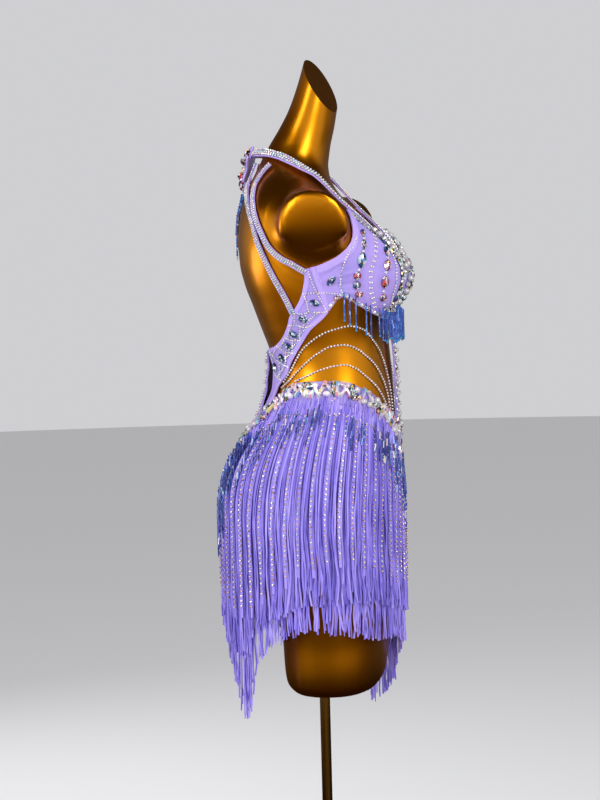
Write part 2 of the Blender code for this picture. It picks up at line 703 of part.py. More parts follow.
def build_ornament(stones, beads, parts):
    """A raised star of stones that stands on the band at the back of the neck."""
    band = NECK_BAND[-1]
    tilt = math.radians(ORNAMENT_TILT)
    up = Vector((0, -math.sin(tilt), math.cos(tilt)))
    outward = Vector((0, math.cos(tilt), math.sin(tilt)))
    side = Vector((1, 0, 0))
    band_edges = [skin(*beside(180, band.height, up * reach), band.lift + STRAP_THICKNESS)
                  for reach in (-BAND_WIDTH / 2, BAND_WIDTH / 2)]
    seat = max(band_edges, key=outward.dot) + outward * LAYER
    centre = seat + up * ((ORNAMENT_CENTRE_HEIGHT - seat.z) / up.z)
    count = 4 * ORNAMENT_POINTS

    def star(scale, depth, ridged=False):
        """One ring of the star, at this share of its size and this depth."""
        ring = []
        for i in range(count):
            turn = 2 * math.pi * i / count
            petal = 0.5 + 0.5 * math.cos(ORNAMENT_POINTS * turn)
            radius = ORNAMENT_VALLEY + (ORNAMENT_RADIUS - ORNAMENT_VALLEY) * petal
            rise = depth + (1.8 * petal if ridged else 0.0)
            ring.append(centre + (side * math.sin(turn) + up * math.cos(turn)) * radius * scale
                        + outward * rise)
        return ring

    rings = [star(1.0, 0.0), star(1.0, ORNAMENT_RIM), star(0.62, ORNAMENT_RIDGE - 1.8, True),
             star(0.3, ORNAMENT_RIDGE - 2.4), star(0.16, ORNAMENT_HEART)]
    place("neck_ornament", ring_loft(rings), stones, parts)

    strands = []
    for i in range(TASSEL_STRANDS):
        spread = i - (TASSEL_STRANDS - 1) / 2
        tip = TASSEL_BOTTOM + 17 * abs(spread)
        top = centre - up * (ORNAMENT_RADIUS + SEAM) + outward * 2.0
        levels = []
        for height, back, gap in ((top.z, top.y, 3.0), (top.z - 5, top.y + 1, 3.0),
                                  (1338, TASSEL_FALL, 3.3), (tip, TASSEL_FALL, 3.6)):
            middle = Vector((gap * spread, back, height))
            levels.append(corners(middle, Vector((0, 1, 0)), 2.0, 2.0))
        strands.append(levels)
    place("neck_tassel", comb(strands), beads, parts)


# ---------------------------------------------------------------- hips and fringe
def build_hips(lilac, stones, parts):
    """The fitted yoke, and the belt of large stones that arches over it."""
    columns = BELT_STONES
    angles = [360 * j / columns for j in range(columns)]
    below = INNER_ROW_DROP + STRIP_HEIGHT + 5
    drops = [BELT_HEIGHT + below * share for share in (1, 2 / 3, 1 / 3)]
    yoke = [[Mark(a, belt_top(a) - drop) for a in angles]
            for drop in (*drops, BELT_HEIGHT, BELT_HEIGHT / 2, 5)]
    place("hip_yoke", cloth_wall(yoke, bodice_lift, loop=True), lilac, parts)

    def row(share, lift, offset=0.0):
        """One line of points round the belt, at this share of its height."""
        marks = [a + offset * 360 / columns for a in angles]
        return [skin(a, belt_top(a) - BELT_HEIGHT * share, lift) for a in marks]

    mesh_edit = bmesh.new()
    low, high = OVER_CLOTH, OVER_CLOTH + BELT_THICKNESS
    inner = [[mesh_edit.verts.new(p) for p in row(share, low)] for share in (1, 0.5, 0)]
    outer = [[mesh_edit.verts.new(p) for p in row(share, high)] for share in (1, 0.5, 0)]
    quads(mesh_edit, inner[0], inner[1], loop=True)
    quads(mesh_edit, inner[1], inner[2], loop=True)
    for end in (0, -1):
        quads(mesh_edit, inner[end], outer[end], loop=True)
    for k, (lower, upper) in enumerate(zip(outer, outer[1:])):
        tips = row(0.75 - 0.5 * k, high + STONE_RISE, offset=0.5)
        for i, tip in enumerate(tips):
            j = (i + 1) % columns
            peak = mesh_edit.verts.new(tip)
            around = lower[i], lower[j], upper[j], upper[i]
            for a, b in zip(around, around[1:] + around[:1]):
                mesh_edit.faces.new((a, b, peak))
    place("hip_belt", mesh_edit, stones, parts)


def skirt_strand(angle, outer_row):
    """A strand of the skirt: its strip's edge, its root, and down over the hips to its hem."""
    widest, outward = hanging_frame(angle)
    inner_hem, outer_hem = hem_curve(angle)
    top = belt_bottom(angle)
    turn = math.degrees(0.8 * STRAND_WIDTH / surface(angle, top).to_2d().length)
    top = min(top, belt_bottom(angle - turn), belt_bottom(angle + turn))
    top -= SEAM + (0 if outer_row else INNER_ROW_DROP)
    root, hem = top - STRIP_HEIGHT, outer_hem if outer_row else inner_hem
    lifts = HANG_LIFTS if outer_row else INNER_HANG_LIFTS
    lowest = min(widest, root - 60)
    strip = OVER_CLOTH + STRIP_THICKNESS / 2 + 0.2
    levels = [(top, strip), (root, strip)]
    for i, lift in enumerate(lifts, start=1):
        levels.append((root + (lowest - root) * i / len(lifts), lift))
    levels.append((hem, lifts[-1]))
    return [corners(fall(angle, height, lift), outward, STRAND_WIDTH,
                    STRIP_THICKNESS if i < 2 else STRAND_THICKNESS)
            for i, (height, lift) in enumerate(levels)]


def build_skirt(lilac, parts):
    """Two rows of fringe, each on its own strip round the yoke."""
    step = 360 / SKIRT_STRANDS
    outer, inner = [], []
    for k in range(SKIRT_STRANDS):
        angle = -180 + step * k
        outer.append(skirt_strand(angle, outer_row=True))
        inner.append(skirt_strand(angle + step / 2, outer_row=False))
    place("fringe_outer", comb(outer, loop=True), lilac, parts)
    place("fringe_inner", comb(inner, loop=True), lilac, parts)


def build_bust_fringe(beads, parts):
    """A short bead fringe under each cup."""
    bottom = along(CUP_BOTTOM)
    for side, name in ((RIGHT, "right"), (LEFT, "left")):
        strands = []
        for i in range(BUST_STRANDS):
            share = 0.13 + 0.72 * i / (BUST_STRANDS - 1)
            angle, edge = bottom(share)
            angle *= side
            outward = frame_at(round(angle, 4), 1200.0)[1]
            outward = Vector((outward.x, outward.y, 0)).normalized()
            top = skin(angle, edge + 9, OVER_CLOTH + BEAD_STRIP_LIFT)
            root = skin(angle, edge + 4, OVER_CLOTH + BEAD_STRIP_LIFT)
            tip = root.copy()
            tip.z = edge - BUST_FRINGE_LENGTH
            tip += outward * max(0.0, (skin(angle, tip.z, 2.4) - tip).dot(outward))
            strands.append([corners(p, outward, 4.0, 2.0) for p in (top, root, tip)])
        strands = strands[::-1] if side == LEFT else strands
        place(f"bust_fringe_{name}", comb(strands), beads, parts)


def build_chains(stones, parts):
    """Three draped stone chains over each side opening."""
    for side, name in ((RIGHT, "right"), (LEFT, "left")):
        for number, route in enumerate(SIDE_CHAINS, start=1):
            curve, pieces = along(mirrored(route, side)), 22
            line = bpy.data.curves.new(f"side_chain_{name}_{number}", "CURVE")
            line.dimensions = "3D"
            line.bevel_depth = CHAIN_RADIUS * MM
            line.bevel_resolution = 0
            line.use_fill_caps = True
            spline = line.splines.new("POLY")
            spline.points.add(pieces)
            for i, point in enumerate(spline.points):
                place_on = skin(*curve(i / pieces), CHAIN_LIFT) * MM
                point.co = (*place_on, 1.0)
            line.materials.append(stones)
            parts.objects.link(bpy.data.objects.new(line.name, line))


def main():
    """Builds the whole object."""
    for thing in list(bpy.data.objects):
        bpy.data.objects.remove(thing, do_unlink=True)
    parts = bpy.data.collections.new("latin_dance_dress")
    tools = bpy.data.collections.new("cutters")
    for collection in (parts, tools):
        bpy.context.scene.collection.children.link(collection)
    gold = material("gold_lacquer", (0.62, 0.25, 0.01), 0.18, 0.9)
    brass = material("dark_brass", (0.25, 0.13, 0.03), 0.25, 0.9)
    lilac = material("lilac_stretch_cloth", (0.47, 0.35, 0.78), 0.55)
    fringe = material("violet_fringe", (0.26, 0.2, 0.8), 0.45)
    stones = material("crystal_stones", (0.8, 0.8, 0.85), 0.08)
    beads = material("blue_bugle_beads", (0.06, 0.13, 0.5), 0.15)
    build_form(gold, parts, tools)
    build_stand(brass, parts)
    build_bodice(lilac, parts)
    build_straps(stones, parts)
    build_ornament(stones, beads, parts)
    build_hips(lilac, stones, parts)
    build_skirt(fringe, parts)
    build_bust_fringe(beads, parts)
    build_chains(stones, parts)


main()
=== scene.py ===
"""Looks of a latin dance dress on a gold limbless dress form.

The dress is stretch cloth on a smooth figure: two cups, two side panels and two narrow panels,
a yoke under a belt of large stones, and a skirt of fringe in two rows with a pointed hem.
Stones, pearls and beads are set on it one by one, by Geometry Nodes, at places that are worked
out on the figure's surface.  Sizes are in millimetres until a mesh is made, and places on the
figure are an angle round it (0 at centre front, 90 at its right side, 180 at centre back) and a
height above the floor.
"""

from __future__ import annotations

import logging
import math
from dataclasses import dataclass, field
from enum import Enum
from typing import Callable, NamedTuple, Sequence

import bmesh
import bpy
import numpy as np
from mathutils import Matrix, Vector

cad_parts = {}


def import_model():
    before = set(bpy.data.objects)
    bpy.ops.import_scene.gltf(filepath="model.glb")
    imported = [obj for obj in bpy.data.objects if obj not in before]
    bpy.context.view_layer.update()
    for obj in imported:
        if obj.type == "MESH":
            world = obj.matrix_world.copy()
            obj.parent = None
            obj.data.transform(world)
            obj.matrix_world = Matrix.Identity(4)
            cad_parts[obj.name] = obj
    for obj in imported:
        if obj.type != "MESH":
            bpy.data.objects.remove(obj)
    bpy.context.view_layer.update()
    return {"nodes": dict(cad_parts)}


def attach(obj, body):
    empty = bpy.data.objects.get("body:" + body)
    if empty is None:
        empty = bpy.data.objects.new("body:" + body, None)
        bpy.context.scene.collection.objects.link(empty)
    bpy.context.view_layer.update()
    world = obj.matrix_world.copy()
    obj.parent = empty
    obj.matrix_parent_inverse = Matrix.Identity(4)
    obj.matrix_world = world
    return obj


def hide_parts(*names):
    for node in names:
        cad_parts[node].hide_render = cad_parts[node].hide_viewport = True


MM = 0.001
DEGREE_MM = 2.3
RIGHT, LEFT = 1, -1
SIDES = ((RIGHT, "right"), (LEFT, "left"))
log = logging.getLogger("dance_dress")

Array = np.ndarray
Object, Tree, Node, Socket = (
    bpy.types.Object, bpy.types.NodeTree, bpy.types.Node, bpy.types.NodeSocket)
Pieces = list[Object]


# ------------------------------------------------------------------ tables
class Section(NamedTuple):
    """One level of the figure: how far it reaches, and how square its outline is."""

    height: float
    front: float
    back: float
    half_width: float
    squareness: float
    widest: float


class Mark(NamedTuple):
    """A place on the figure: angle round it and height."""

    angle: float
    height: float


class Lifted(NamedTuple):
    """A place on a strap's route, with its height above the figure's surface."""

    angle: float
    height: float
    lift: float


class Hem(NamedTuple):
    """How low the two rows of skirt fringe reach at one angle."""

    angle: float
    inner: float
    outer: float


def listed(kind: Callable, *numbers: float) -> tuple:
    """A table's rows, of this kind, from all its numbers in turn."""
    size = len(kind._fields)
    return tuple(kind(*numbers[i:i + size]) for i in range(0, len(numbers), size))


def marked(*numbers: float) -> tuple[Mark, ...]:
    """Marks from their angles and heights in turn."""
    return listed(Mark, *numbers)


FIGURE = listed(Section,
    608, 76, -36, 112, 2.35, 20, 611, 85, -44, 128, 2.40, 20, 617, 90, -49, 137, 2.45, 20,
    628, 94.5, -53, 144, 2.50, 20, 645, 97, -55, 148, 2.50, 20, 690, 100, -57, 152, 2.50, 18,
    720, 104, -64, 156, 2.50, 16, 750, 107, -80, 160, 2.45, 12, 780, 110, -99, 163, 2.35, 8,
    810, 113, -119, 165, 2.25, 4, 840, 115, -133, 165, 2.20, 2, 870, 117, -141, 163, 2.15, 1,
    900, 119, -143, 159, 2.10, 2, 930, 120, -139, 153, 2.10, 4, 960, 120, -129, 146, 2.10, 8,
    990, 120, -112, 137, 2.10, 13, 1020, 120, -92, 127, 2.10, 19, 1050, 119, -75, 118, 2.10, 24,
    1075, 118, -65, 113, 2.10, 27, 1100, 116, -63, 112, 2.10, 27, 1130, 113, -70, 114, 2.10, 24,
    1165, 108, -82, 120, 2.15, 18, 1200, 104, -94, 127, 2.20, 12, 1235, 103, -106, 134, 2.25, 9,
    1265, 100, -112, 140, 2.30, 12, 1295, 92, -113, 146, 2.35, 16,
    1320, 78, -111, 150, 2.35, 20, 1340, 62, -108, 150, 2.30, 20, 1356, 48, -105, 143, 2.20, 16,
    1370, 38, -101, 128, 2.10, 6, 1384, 31, -96, 108, 2.00, -8, 1398, 27, -89, 86, 2.00, -20,
    1412, 26, -82, 69, 2.00, -24, 1428, 28, -74, 58, 2.00, -21, 1445, 31, -64, 53, 2.00, -15,
    1470, 37, -48, 50, 2.00, -5, 1497, 42, -33, 49, 2.00, 5, 1532, 49, -19, 48, 2.00, 15,
    1560, 54, -10, 47, 2.00, 22, 1610, 62, 4, 45, 2.00, 33)
BELT_TOP = marked(
    0, 985, 5, 1004, 12, 1020, 21, 1034, 30, 1046, 43, 1063, 56, 1074, 73, 1085, 92, 1086,
    113, 1084, 122, 1079, 134, 1062, 143, 1048, 155, 1032, 168, 1008, 180, 984)
CUP_NECKLINE = marked(
    0.2, 1174, 0.2, 1200, 4.9, 1225, 11.8, 1262, 17.2, 1300, 23, 1346)
CUP_ARMHOLE = marked(
    23, 1346, 41.5, 1322, 54, 1298, 62, 1284, 71.5, 1271, 81, 1262, 86, 1258)
CUP_BOTTOM = marked(
    0.2, 1174, 15, 1175, 30, 1177, 41.5, 1182.5, 49, 1187.5, 56.5, 1194, 61, 1199.5, 65.5, 1205.5,
    70, 1211.5, 73.5, 1207.5, 76.2, 1199, 78.8, 1192)
CUP_SEAM = marked(
    78.8, 1192, 82, 1225, 86, 1258)
WING_FRONT = marked(
    86.4, 1258, 82.5, 1225, 79.4, 1191.6, 81.5, 1185, 90, 1170, 102.5, 1146, 113.5, 1126, 123, 1109,
    127.5, 1097, 136, 1084, 142, 1072, 144, 1048)
WING_BACK = marked(
    92, 1254, 91.5, 1244, 93.5, 1220, 95.5, 1210, 102, 1194, 107, 1185, 111.5, 1172, 121, 1154,
    136, 1140, 153, 1133, 154.5, 1095, 156, 1031)
NECK_BAND = listed(Lifted,
    3.9, 1210, 4.0, 8.2, 1232, 4.4, 14, 1264, 3.8, 19.5, 1302, 3.4, 25, 1342, 3.8, 35, 1367, 5.0,
    50, 1388, 6.0, 71, 1402, 6.0, 87, 1413, 5.5, 108, 1423, 6.0, 135, 1428, 8.5,
    158, 1428, 12.5, 180, 1426, 14.5)
INNER_STRAP = listed(Lifted,
    165.5, 1415.5, 4.5, 163, 1400, 3.0, 160, 1386, 2.2, 149, 1366, 1.8, 139.5, 1346, 1.6,
    132, 1325, 1.5, 126.5, 1302, 1.5, 117.5, 1264, 1.5, 108, 1220, 1.6, 104.2, 1194, 2.8,
    103.3, 1187, 3.0)
OUTER_STRAP = listed(Lifted,
    118, 1411, 4.0, 126, 1403, 3.2, 134, 1390, 2.5, 138.3, 1378, 2.0, 137.5, 1366, 1.8,
    133.2, 1348, 1.7, 127.5, 1328, 1.6, 121.3, 1308, 1.6, 114, 1286, 1.6, 106, 1271, 1.6,
    98.5, 1262, 1.8, 93.6, 1254.5, 2.9, 91, 1250, 3.0)
SIDE_CHAINS = (
    marked(133, 1085, 124, 1101, 114, 1119, 104, 1136, 95, 1147, 85, 1158, 75, 1164, 64, 1168,
           51, 1162, 39, 1146, 29.5, 1130, 20.5, 1102, 14.5, 1070, 11.2, 1042, 10.6, 1027),
    marked(135.5, 1076, 126, 1086, 117, 1099, 107, 1111, 92.5, 1128, 81, 1138, 69, 1140, 58, 1134,
           49, 1124, 37.5, 1108, 28.5, 1088, 20.5, 1062, 15.5, 1034),
    marked(117, 1086.5, 107, 1093, 94, 1102, 82, 1108, 70, 1110, 60, 1104, 48.5, 1090, 37, 1074,
           27, 1054, 22.5, 1042),
)
SKIRT_HEM = listed(Hem,
    -180, 690, 728, -150, 690, 730, -120, 685, 735, -95, 668, 728, -77, 612, 700, -66, 546, 668,
    -52, 565, 672, -39, 592, 680, -30, 635, 698, -20, 661, 712, 0, 675, 722, 20, 688, 735,
    38, 694, 744, 56, 702, 752, 71, 709, 756, 88, 713, 754, 101, 704, 738, 115, 680, 720,
    122, 662, 706, 127, 604, 690, 131, 585, 676, 142, 623, 684, 148, 642, 690, 157, 676, 706,
    180, 690, 728)
BELT_HEIGHT = 34.0
BELT_FACE = 4.3
INNER_ROW_DROP = 78.0


# ------------------------------------------------------------------ smooth curves
class SmoothTable:
    """Smooth curves through a table's columns, which never swing past its rows."""

    def __init__(self, rows: Sequence[Sequence[float]]) -> None:
        """Takes the rows, with the key in the first column, rising."""
        table = np.array([tuple(row) for row in rows], float)
        self.keys, self.values = table[:, 0], table[:, 1:]
        steps = np.diff(self.keys)[:, None]
        rises = np.diff(self.values, axis=0) / steps
        slopes = np.zeros_like(self.values)
        slopes[0], slopes[-1] = rises[0], rises[-1]
        before, after = rises[:-1], rises[1:]
        near, far = 2 * steps[1:] + steps[:-1], steps[1:] + 2 * steps[:-1]
        turning = before * after <= 0
        safe_before, safe_after = np.where(turning, 1, before), np.where(turning, 1, after)
        blended = (near + far) / (near / safe_before + far / safe_after)
        slopes[1:-1] = np.where(turning, 0.0, blended)
        self.slopes = slopes

    def __call__(self, key: Array | float) -> Array:
        """Returns the columns' values, stacked on the last axis."""
        key = np.asarray(key, float)
        i = np.clip(np.searchsorted(self.keys, key, side="right") - 1, 0, len(self.keys) - 2)
        step = self.keys[i + 1] - self.keys[i]
        t = np.clip((key - self.keys[i]) / step, 0, 1)[..., None]
        step = step[..., None]
        return (
            (1 - t) ** 2 * (1 + 2 * t) * self.values[i]
            + t * (1 - t) ** 2 * step * self.slopes[i]
            + t * t * (3 - 2 * t) * self.values[i + 1]
            + t * t * (t - 1) * step * self.slopes[i + 1]
        )


def along(marks: Sequence[Sequence[float]]) -> SmoothTable:
    """A smooth curve through marks, from 0 at the first to 1 at the last, by distance.

    Args:
        marks: places, each with its angle and height first.
    Returns:
        The curve, whose columns are the marks' own.
    """
    places = np.array([tuple(mark) for mark in marks], float)
    steps = np.hypot(np.diff(places[:, 0]) * DEGREE_MM, np.diff(places[:, 1]))
    distance = np.concatenate([[0], np.cumsum(steps)])
    return SmoothTable(np.column_stack([distance / distance[-1], places]))


def mirrored(marks: Sequence, side: int) -> list:
    """The same marks on the figure's right or left."""
    return [mark._replace(angle=side * mark.angle) for mark in marks]


def unit(vectors: Array) -> Array:
    """The vectors at length 1."""
    return vectors / np.linalg.norm(vectors, axis=-1, keepdims=True)


def distances(points: Array) -> Array:
    """How far along a line each of its points is."""
    return np.concatenate([[0], np.cumsum(np.linalg.norm(np.diff(points, axis=0), axis=1))])


def spaced(line: Array, distance: Array) -> Array:
    """The points at distances along a line of points."""
    lengths = distances(line)
    return np.stack([np.interp(distance, lengths, column) for column in line.T], axis=-1)


belt_curve = SmoothTable(BELT_TOP)
hem_curve = SmoothTable(SKIRT_HEM)
back_stand_off = SmoothTable((
    (980, 2.0), (1030, 5.0), (1055, 9.0), (1085, 12.0), (1110, 8.5), (1131, 3.5)))
front_stand_off = SmoothTable((
    (984, 2.0), (1034, 3.5), (1080, 5.0), (1134, 7.0), (1173, 3.5)))


def belt_top(angle: Array | float) -> Array:
    """The height of the belt's upper edge, the same on both sides."""
    turned = np.abs((np.asarray(angle, float) + 180) % 360 - 180)
    return belt_curve(turned)[..., 0]


def hems(angle: Array | float) -> tuple[Array, Array]:
    """The heights that the inner and outer rows of fringe reach at this angle."""
    reach = hem_curve((np.asarray(angle, float) + 180) % 360 - 180)
    return reach[..., 0], reach[..., 1]


# ------------------------------------------------------------------ the figure's surface
class Figure:
    """The limbless figure as a smooth surface, with a bust mound on each side."""

    BUST_SIDE, BUST_HEIGHT, BUST_RISE = 80.0, 1240.0, 50.0
    SPREAD, SPREAD_UP, SPREAD_DOWN = 37.0, 46.0, 43.0
    HIP_LEVELS = (790.0, 1001.0, 5.0)

    def __init__(self) -> None:
        """Reads the table of levels."""
        self.sizes = SmoothTable(FIGURE)

    def surface(self, angle: Array, height: Array) -> Array:
        """The surface's points, in millimetres, at these angles and heights."""
        angle, height = np.broadcast_arrays(np.asarray(angle, float), np.asarray(height, float))
        front, back, half_width, squareness, widest = np.moveaxis(self.sizes(height), -1, 0)
        cosine, sine = np.cos(np.radians(angle)), np.sin(np.radians(angle))
        power = 2 / squareness
        lateral = half_width * np.sign(sine) * np.abs(sine) ** power
        reach = np.where(cosine > 0, front - widest, widest - back)
        forward = widest + reach * np.sign(cosine) * np.abs(cosine) ** power
        spread = np.where(height > self.BUST_HEIGHT, self.SPREAD_UP, self.SPREAD_DOWN)
        swell = sum(
            np.exp(-((lateral - side * self.BUST_SIDE) ** 2) / (2 * self.SPREAD**2)
                   - (height - self.BUST_HEIGHT) ** 2 / (2 * spread**2))
            for side in (RIGHT, LEFT)
        )
        forward = forward + self.BUST_RISE * swell * np.clip(cosine * 1.6 + 0.15, 0, 1)
        return np.stack([-lateral, -forward, height], axis=-1)

    def outward(self, angle: Array, height: Array) -> Array:
        """The surface's outward directions."""
        angle, height = np.asarray(angle, float), np.asarray(height, float)
        sideways = self.surface(angle + 0.1, height) - self.surface(angle - 0.1, height)
        upwards = self.surface(angle, height + 0.5) - self.surface(angle, height - 0.5)
        return unit(np.cross(upwards, sideways))

    def skin(self, angle: Array, height: Array, lift: Array | float) -> Array:
        """Points this far out from the surface."""
        lift = np.asarray(lift, float)[..., None]
        return self.surface(angle, height) + self.outward(angle, height) * lift

    def hanging(self, angle: Array) -> tuple[Array, Array]:
        """Where fringe leaves the hips: the height, and the level outward direction."""
        angle = np.asarray(angle, float)
        out = unit(self.outward(angle, np.full(angle.shape, 900.0)) * (1, 1, 0))
        levels = np.arange(*self.HIP_LEVELS)
        reach = np.stack([
            (self.surface(angle, np.full(angle.shape, level)) * out).sum(-1) for level in levels
        ])
        return levels[reach.argmax(axis=0)], out

    def fall(self, angle: Array, height: Array, lift: Array) -> Array:
        """Points on strands: along the hips to their widest level, then straight down."""
        widest, _ = self.hanging(angle)
        points = self.skin(angle, np.maximum(height, widest), lift)
        points[..., 2] = np.where(height < widest, height, points[..., 2])
        return points


SKIN = Figure()


# ------------------------------------------------------------------ mesh makers
def quad_faces(rows: int, columns: int, loop: bool = False) -> Array:
    """The faces of a grid of points.

    Args:
        rows: how many rows of points there are.
        columns: how many points a row has.
        loop: whether each row closes on itself.
    Returns:
        An array of four point numbers a face.
    """
    number = np.arange(rows * columns).reshape(rows, columns)
    if loop:
        number = np.concatenate([number, number[:, :1]], axis=1)
    return np.stack([number[:-1, :-1], number[:-1, 1:], number[1:, 1:], number[1:, :-1]],
                    axis=-1).reshape(-1, 4)


def linked(name: str, data: bpy.types.ID) -> Object:
    """Makes an object from this data and puts it in the scene."""
    made = bpy.data.objects.new(name, data)
    bpy.context.scene.collection.objects.link(made)
    return made


def dropped(piece: Object) -> None:
    """Removes a helper object and its mesh."""
    mesh = piece.data
    bpy.data.objects.remove(piece)
    bpy.data.meshes.remove(mesh)


class Draft:
    """Points and faces that are gathered for one mesh, in millimetres."""

    def __init__(self) -> None:
        """Starts empty."""
        self.points: list[Array] = []
        self.faces: list[list[int]] = []
        self.count = 0

    def add(self, points: Array, faces: Array | list) -> Draft:
        """Adds points and the faces between them."""
        points = np.asarray(points, float).reshape(-1, 3)
        self.faces += [[int(i) + self.count for i in face] for face in faces]
        self.points.append(points)
        self.count += len(points)
        return self

    def loft(self, rings: Array) -> Draft:
        """Adds a closed body through rings of points, capped at both ends."""
        count, columns = rings.shape[:2]
        last = (count - 1) * columns
        caps = [list(range(columns)), list(range(last, last + columns))]
        return self.add(rings, quad_faces(count, columns, loop=True).tolist() + caps)

    def shell(self, inner: Array, outer: Array, loop: bool = False) -> Draft:
        """Adds a closed wall between two grids of points."""
        count, columns = inner.shape[:2]
        size = count * columns
        faces = quad_faces(count, columns, loop)
        both = [*(faces[:, ::-1]).tolist(), *(faces + size).tolist()]
        edges = [(end * columns + j, end * columns + (j + 1) % columns)
                 for end in (0, count - 1) for j in range(columns if loop else columns - 1)]
        if not loop:
            edges += [(i * columns + j, (i + 1) * columns + j)
                      for j in (0, columns - 1) for i in range(count - 1)]
        both += [[a, b, b + size, a + size] for a, b in edges]
        return self.add(np.concatenate([inner.reshape(-1, 3), outer.reshape(-1, 3)]), both)

    def piece(self, name: str, finish: Finish, smooth: bool = True,
              crease: float | None = 40.0) -> Object:
        """Makes the object, in metres, with its faces pointing out.

        Args:
            name: the piece's name.
            finish: what it is made of.
            smooth: whether it is shaded smooth.
            crease: the angle, in degrees, past which an edge stays sharp.
        Returns:
            The new object.
        """
        mesh = bpy.data.meshes.new(name)
        mesh.from_pydata(np.concatenate(self.points) * MM, [], self.faces)
        edit = bmesh.new()
        edit.from_mesh(mesh)
        bmesh.ops.recalc_face_normals(edit, faces=edit.faces)
        edit.to_mesh(mesh)
        edit.free()
        if smooth:
            mesh.shade_smooth()
            if crease is not None:
                mesh.set_sharp_from_angle(angle=math.radians(crease))
        mesh.materials.append(finish.material())
        return linked(name, mesh)


def finished(piece: Object, slot: str, *nodes: str) -> Object:
    """Seats a piece on the object: it rides on the body and stands for these nodes."""
    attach(piece, "root")
    if nodes:
        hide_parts(*nodes)
    log.info("%s: %d faces", piece.name, len(piece.data.polygons))
    return piece


def applied(piece: Object) -> Object:
    """Turns a piece with modifiers into a plain mesh of the same name."""
    graph = bpy.context.evaluated_depsgraph_get()
    mesh = bpy.data.meshes.new_from_object(piece.evaluated_get(graph), depsgraph=graph)
    old = piece.data
    piece.modifiers.clear()
    piece.data = mesh
    if old.users == 0:
        bpy.data.meshes.remove(old)
    mesh.name = piece.name
    return piece


# ------------------------------------------------------------------ finishes
def linear(colour: str) -> tuple[float, float, float, float]:
    """Turns an sRGB hex value such as "#b19ee6" into a linear colour."""
    channels = [int(colour[i:i + 2], 16) / 255 for i in (1, 3, 5)]
    return (*(c / 12.92 if c <= 0.04045 else ((c + 0.055) / 1.055) ** 2.4 for c in channels), 1.0)


def add_node(tree: Tree, kind: str, inputs: dict | None = None, **settings: object) -> Node:
    """Adds a node with its settings and links.

    Args:
        tree: the node tree.
        kind: the node's type name.
        inputs: input socket name or number to a value, or to the socket that feeds it.
        settings: the node's own properties.
    Returns:
        The new node.
    """
    made = tree.nodes.new(kind)
    for key, value in settings.items():
        setattr(made, key, value)
    for key, value in (inputs or {}).items():
        if isinstance(value, Socket):
            tree.links.new(value, made.inputs[key])
        else:
            made.inputs[key].default_value = value
    return made


def ramp(tree: Tree, factor: Socket, stops: Sequence[tuple[float, str]]) -> Socket:
    """Adds a colour ramp and returns its colour.

    Args:
        tree: the node tree.
        factor: what drives the ramp.
        stops: positions and sRGB hex colours.
    Returns:
        The ramp's colour socket.
    """
    made = add_node(tree, "ShaderNodeValToRGB", {"Fac": factor})
    band = made.color_ramp
    while len(band.elements) < len(stops):
        band.elements.new(0.5)
    for element, (position, colour) in zip(band.elements, stops):
        element.position, element.color = position, linear(colour)
    return made.outputs["Color"]


@dataclass(frozen=True)
class Finish:
    """What a surface is made of. A subclass adds its pattern."""

    name: str
    colour: str
    roughness: float = 0.5
    metallic: float = 0.0
    coat: float = 0.0
    coat_roughness: float = 0.08
    sheen: float = 0.0
    sheen_roughness: float = 0.4
    specular: float = 0.5

    def material(self) -> bpy.types.Material:
        """Returns the material, made on first use."""
        made = bpy.data.materials.get(self.name)
        if made is not None:
            return made
        made = bpy.data.materials.new(self.name)
        made.use_nodes = True
        tree = made.node_tree
        shader = tree.nodes["Principled BSDF"]
        for socket, value in (
            ("Base Color", linear(self.colour)), ("Roughness", self.roughness),
            ("Metallic", self.metallic), ("Coat Weight", self.coat),
            ("Coat Roughness", self.coat_roughness), ("Sheen Weight", self.sheen),
            ("Sheen Roughness", self.sheen_roughness), ("Specular IOR Level", self.specular),
        ):
            shader.inputs[socket].default_value = value
        for socket, source in self.pattern(tree).items():
            tree.links.new(source, shader.inputs[socket])
        return made

    def pattern(self, tree: Tree) -> dict[str, Socket]:
        """Makes what varies over the surface, by the shader input that it feeds."""
        return {}


def bump(tree: Tree, height: Socket, depth_mm: float, strength: float) -> Socket:
    """Turns a height pattern of this depth, in millimetres, into a normal."""
    return add_node(tree, "ShaderNodeBump", {
        "Height": height, "Distance": depth_mm * MM, "Strength": strength}).outputs["Normal"]


def own_place(tree: Tree) -> Socket:
    """The place on the object, in metres."""
    return add_node(tree, "ShaderNodeTexCoord").outputs["Object"]


def noise(tree: Tree, place: Socket, scale: float, detail: float = 1.0,
          roughness: float = 0.5) -> Socket:
    """A cloudy pattern of this scale."""
    return add_node(tree, "ShaderNodeTexNoise", {
        "Vector": place, "Scale": scale, "Detail": detail, "Roughness": roughness}).outputs["Fac"]


def attribute(tree: Tree, name: str) -> Socket:
    """A number that the mesh carries."""
    return add_node(tree, "ShaderNodeAttribute", attribute_name=name).outputs["Fac"]


def ranged(tree: Tree, value: Socket, source: tuple[float, float],
           target: tuple[float, float] = (0.0, 1.0)) -> Socket:
    """A value taken from one range to another."""
    return add_node(tree, "ShaderNodeMapRange", {
        "Value": value, "From Min": source[0], "From Max": source[1],
        "To Min": target[0], "To Max": target[1]}).outputs["Result"]


def maths(tree: Tree, operation: str, *values: object) -> Socket:
    """One sum, from numbers or sockets."""
    return add_node(tree, "ShaderNodeMath", dict(enumerate(values)),
                    operation=operation).outputs[0]


def either(tree: Tree, factor: Socket, first: object, second: object) -> Socket:
    """The first colour where the factor is 0, and the second where it is 1."""
    return add_node(tree, "ShaderNodeMix", {"Factor": factor, 6: first, 7: second},
                    data_type="RGBA").outputs[2]


